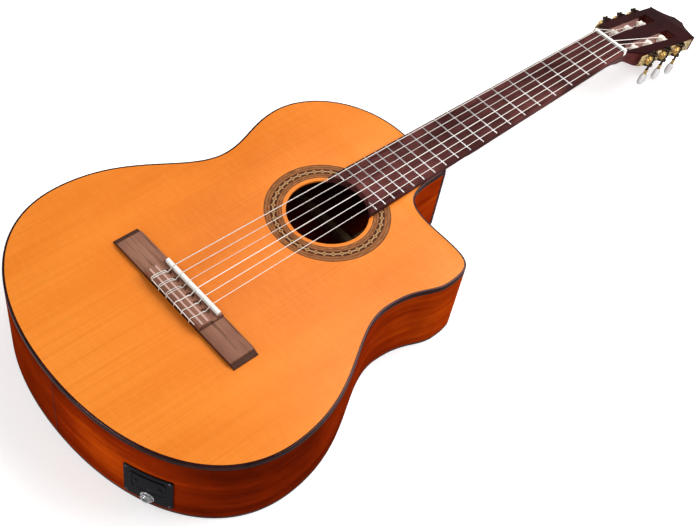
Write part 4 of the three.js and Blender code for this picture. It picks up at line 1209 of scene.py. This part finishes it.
def string_end(index):
    """Where a string meets the top of its roller."""
    _, radius, roller, landing = STRINGS[index]
    side = 1 if index < 3 else -1
    level = ROLLER_LEVEL + ROLLER_R + radius + 0.05
    return on_head(side * landing, ROLLER_PLACES[roller - 1], level)


def make_string(index):
    name, radius, _, _ = STRINGS[index]
    kind = string_kind(index)
    x = string_x(index, SPREAD_SADDLE)
    at_nut = string_x(index, SPREAD_NUT)

    def knot(points):
        """Part of the knot, through points given from the string's place on the bridge's rear edge."""
        return tube(smooth_line([(x + dx, REAR + dy, z) for dx, dy, z in points]), radius)

    ramp = [(-8, TIE_HOLE), (-1.4, HEIGHT_SADDLE - 0.75), (-0.6, HEIGHT_SADDLE - 0.2), (0.8, HEIGHT_SADDLE)]
    down = [(-0.2, HEIGHT_NUT), (3.2, HEIGHT_NUT - 0.05), (4.8, HEIGHT_NUT - 0.45)]
    run = [(x, REAR - 0.6, TIE_HOLE), *((x, SADDLE_Y + y, z) for y, z in ramp)]
    run += [*((at_nut, y, z) for y, z in down), string_end(index)]
    over = TIE_TOP + radius + 0.1
    lean = 0.9 if index < 3 else 0.0
    first = [(0, -0.5, TIE_HOLE), (-0.3, -1, 8), (-0.2, 0.6, over - 0.1), (lean, 7, over + 0.1)]
    loops = [knot([*first, (0.8, 14.6, over + 0.1), (1, 16.2, 8.6), (0.5, 17, 7)])]
    if index >= 3:
        second = [(-0.9, 17.2, 7.2), (-1.3, 16.2, 8.6), (-1.3, 14.6, over + 0.1), (-2.3, 7, over + 0.1)]
        loops.append(knot([*second, (-2.3, 0.6, over - 0.2), (-1.2, -0.9, 8.6)]))
    tail = [(-0.8, -0.7, 8.4), (2.5, -1.1, 8.9), (7, -0.9, 8), (10.8, -1, 7.6), (12.6, -2.6, 6.6)]
    loops.append(knot(tail if index else tail[:3]))
    piece(f"{name}_strung", join(tube(run, radius, 12), *loops), kind, f"{kind}_string", [name], smooth=60)


# ---- tuning machines

GEAR_TEETH = 14
GEAR_PITCH_R = 5.6
GEAR_FROM, GEAR_TO = 39.9, 43.3
WORM_X = (GEAR_FROM + GEAR_TO) / 2
WORM_DISTANCE = 8.1
WORM_PITCH = tau * GEAR_PITCH_R / GEAR_TEETH
PLATE_SPAN = (22, 151)
PLATE_LEVELS = (-17.6, -2.2)
EAR_THICKNESS = 2.2


def roller_frame(side, place):
    """Its z axis runs out along the roller, through its centre line."""
    out = Vector((side, 0, 0))
    up = Vector((0, 0, 1))
    return HEAD @ axes(up.cross(out), up, out, (0, place, ROLLER_LEVEL))


def worm_frame(side, place):
    return HEAD @ at(side * WORM_X, place + WORM_DISTANCE, 0)


def gear():
    tooth = tau / GEAR_TEETH
    outline = []
    for k in range(GEAR_TEETH):
        for turn, radius in ((-0.3, 4.9), (-0.2, 5.4), (-0.1, 6.0), (0.1, 6.0), (0.2, 5.4), (0.3, 4.9)):
            angle = (k + turn) * tooth
            outline.append((radius * cos(angle), radius * sin(angle)))
    lead = WORM_PITCH / (tau * (WORM_DISTANCE - GEAR_PITCH_R))
    rings = []
    for level in (0, 1, 2, 3, 4):
        z = (GEAR_TO - GEAR_FROM) * level / 4
        twist = Matrix.Rotation(lead * (z - (GEAR_TO - GEAR_FROM) / 2) / GEAR_PITCH_R, 3, "Z")
        rings.append([twist @ Vector((x, y, z)) + Vector((0, 0, GEAR_FROM)) for x, y in outline])
    return loft(rings)


def make_roller(side, label, number):
    place = roller_frame(side, ROLLER_PLACES[number - 1])
    body = f"roller_{label}_{number}"
    inner_flange = [(0, 10.9), (4.2, 10.9), (5.2, 11.3), (5.6, 12.1), (5.2, 12.8), (4.95, 13.2)]
    outer_flange = [(4.95, 21), (5.2, 21.4), (5.5, 22), (4.6, 22.7), (2.6, 22.8)]
    barrel = lathe([*inner_flange, *outer_flange, (2.6, 39.5), (0, 39.5)], 36)
    ride = {"body": body, "place": place}
    piece(f"{body}_barrel", barrel, "roller", "roller", [body], smooth=45, **ride)
    hub = lathe([(0, 39.2), (2.6, 39.2), (2.6, 40), (3.4, 43.2), (3.2, 43.7), (2.2, 44.2), (0, 44.4)], 28)
    cross = block(-2.6, 2.6, -0.35, 0.35, 43.8, 46)
    piece(f"{body}_gear", join(gear(), boolean(hub, cross)), "brass", "roller", **ride)
    index = number - 1 if side > 0 else 6 - number
    _, radius, _, landing = STRINGS[index]
    turns, steps = 3.5, 24
    coil = []
    for k in range(int(turns * steps)):
        turn = -tau * k / steps * side + pi / 2
        reach = ROLLER_R + radius
        z = landing - 0.35 - 2.05 * radius * k / steps
        coil.append((reach * cos(turn), reach * sin(turn), z))
    kind = string_kind(index)
    winding = tube(coil, radius, 8)
    piece(f"{body}_winding", winding, kind, f"{kind}_string", smooth=60, **ride)


def worm_thread():
    start, end = -14.2, -3.9
    steps = 20
    turns = (end - start - WORM_PITCH) / WORM_PITCH
    rings = []
    for k in range(int(turns * steps) + 1):
        turn = tau * (k / steps - turns / 2) + pi / 2
        level = ROLLER_LEVEL + WORM_PITCH * (k / steps - turns / 2)
        section = [(1.5, -0.75), (2.3, -0.5), (3, -0.28), (3, 0.28), (2.3, 0.5), (1.5, 0.75)]
        rings.append([(r * cos(turn), r * sin(turn), level + rise) for r, rise in section])
    return loft(rings)


def oval_button():
    """A flat oval button: rounded in plan and thin through."""
    turns = [tau * j / 32 for j in range(32)]
    rings = []
    for k in range(21):
        level = sin(pi / 2 * (k / 10 - 1))
        plan = max(1 - abs(level) ** 2.5, 0.0) ** 0.4
        thin, wide = (2.2 + 1.5 * plan) * max(plan, 0.25) ** 0.5, max(8 * plan, 1.2)
        rings.append([(thin * cos(t), wide * sin(t), -39 + 8.5 * level) for t in turns])
    return loft(rings)


def make_worm(side, label, number):
    place = worm_frame(side, ROLLER_PLACES[number - 1])
    body = f"button_{label}_{number}"
    core = lathe([(0, -14.5), (1.9, -14.5), (1.9, -3.5), (0, -3.5)], 20)
    shaft = lathe([(0, -32), (1.45, -32), (1.45, 2.1), (1.1, 2.4), (0, 2.4)], 20)
    worm = join(core, shaft, worm_thread())
    ride = {"body": body, "place": place}
    piece(f"{body}_worm", worm, "dark_brass", "pearl", [body], smooth=40, **ride)
    flare = [(0, -31.4), (2, -31.4), (2.5, -30.4), (2, -29.2), (1.7, -26.6)]
    collar = lathe([*flare, (2.3, -26), (2.3, -25.2), (1.6, -24.8), (0, -24.8)], 24)
    piece(f"{body}_collar", collar, "brass", "pearl", smooth=40, **ride)
    piece(f"{body}_oval", oval_button(), "pearl", "pearl", smooth=60, **ride)


def plate_screws(side):
    screws = []
    for u in (26.5, 58.5, 93.5, 128.5, 146):
        head = lathe([(0, 1.1), (1.9, 1.1), (1.7, 1.5), (1.1, 1.9), (0, 2.0)], 24)
        head = boolean(head, block(-2.2, 2.2, -0.25, 0.25, 1.6, 3))
        screws.append(moved(head, at(u, side * ROLLER_LEVEL, 0) @ Matrix.Rotation(u, 4, "Z")))
    return join(*screws)


def plate_ears(side):
    """The ears above and below each worm, and the fin over it."""
    ears = []
    for place in ROLLER_PLACES:
        u = place + WORM_DISTANCE
        for level in (-2.4, -18.2):
            ear = [(u - 12, 0.6), (u + 8, 0.6), (u + 3.5, 6.3), (u + 0.5, 8.2), (u - 2.2, 8.6), (u - 4.2, 7)]
            ears.append(loft([[(a, side * w, b) for a, b in ear] for w in (level, level + EAR_THICKNESS)]))
        fin = [(u - 4.6, -0.6), (u - 4.4, 2.2), (u - 3.2, 2.5), (u + 1, 1.3), (u + 5.5, -0.6)]
        ears.append(loft([[(a, side * w, z) for a, w in fin] for z in (0.9, 2.6)]))
    return join(*ears)


def make_plate(side, label):
    """The engraved plate on one side of the head, with the dark ears that hold its worms."""
    out = Matrix(((0, 0, side, side * (HEAD_HALF + 0.1)), (1, 0, 0, 0), (0, side, 0, 0), (0, 0, 0, 1)))
    u0, u1 = PLATE_SPAN
    w0, w1 = PLATE_LEVELS
    rim = rounded_rectangle((u1 - u0) / 2, (w1 - w0) / 2, 2.5, (u0 + u1) / 2, (w0 + w1) / 2)
    rectangle = [(u, side * w) for u, w in rim]
    holes = [circle(2.8, 24, u, side * ROLLER_LEVEL) for u in ROLLER_PLACES]
    mesh = plate([rectangle, *holes], 0, 1.2, 0.25)
    name = f"tuner_plate_{label}"
    piece(f"{name}_gold", mesh, "gold", "gold_plate", [name], place=HEAD @ out)
    piece(f"{name}_screws", plate_screws(side), "brass", "gold_plate", place=HEAD @ out)
    piece(f"{name}_ears", plate_ears(side), "dark_brass", "gold_plate", place=HEAD @ out, bevel=0.3)


make_neck()
make_board()
make_frets()
make_nut_and_saddle()
make_bridge()
for index in range(len(STRINGS)):
    make_string(index)
for way, bank in ((1, "treble"), (-1, "bass")):
    make_plate(way, bank)
    for number in (1, 2, 3):
        make_roller(way, bank, number)
        make_worm(way, bank, number)

# ---- the CAD's own inner pieces

for name in ("linings_with_end_block", "top_bracing", "back_bracing"):
    inner_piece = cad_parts[name]
    inner_piece.data.materials.clear()
    inner_piece.data.materials.append(MATERIALS["spruce"])
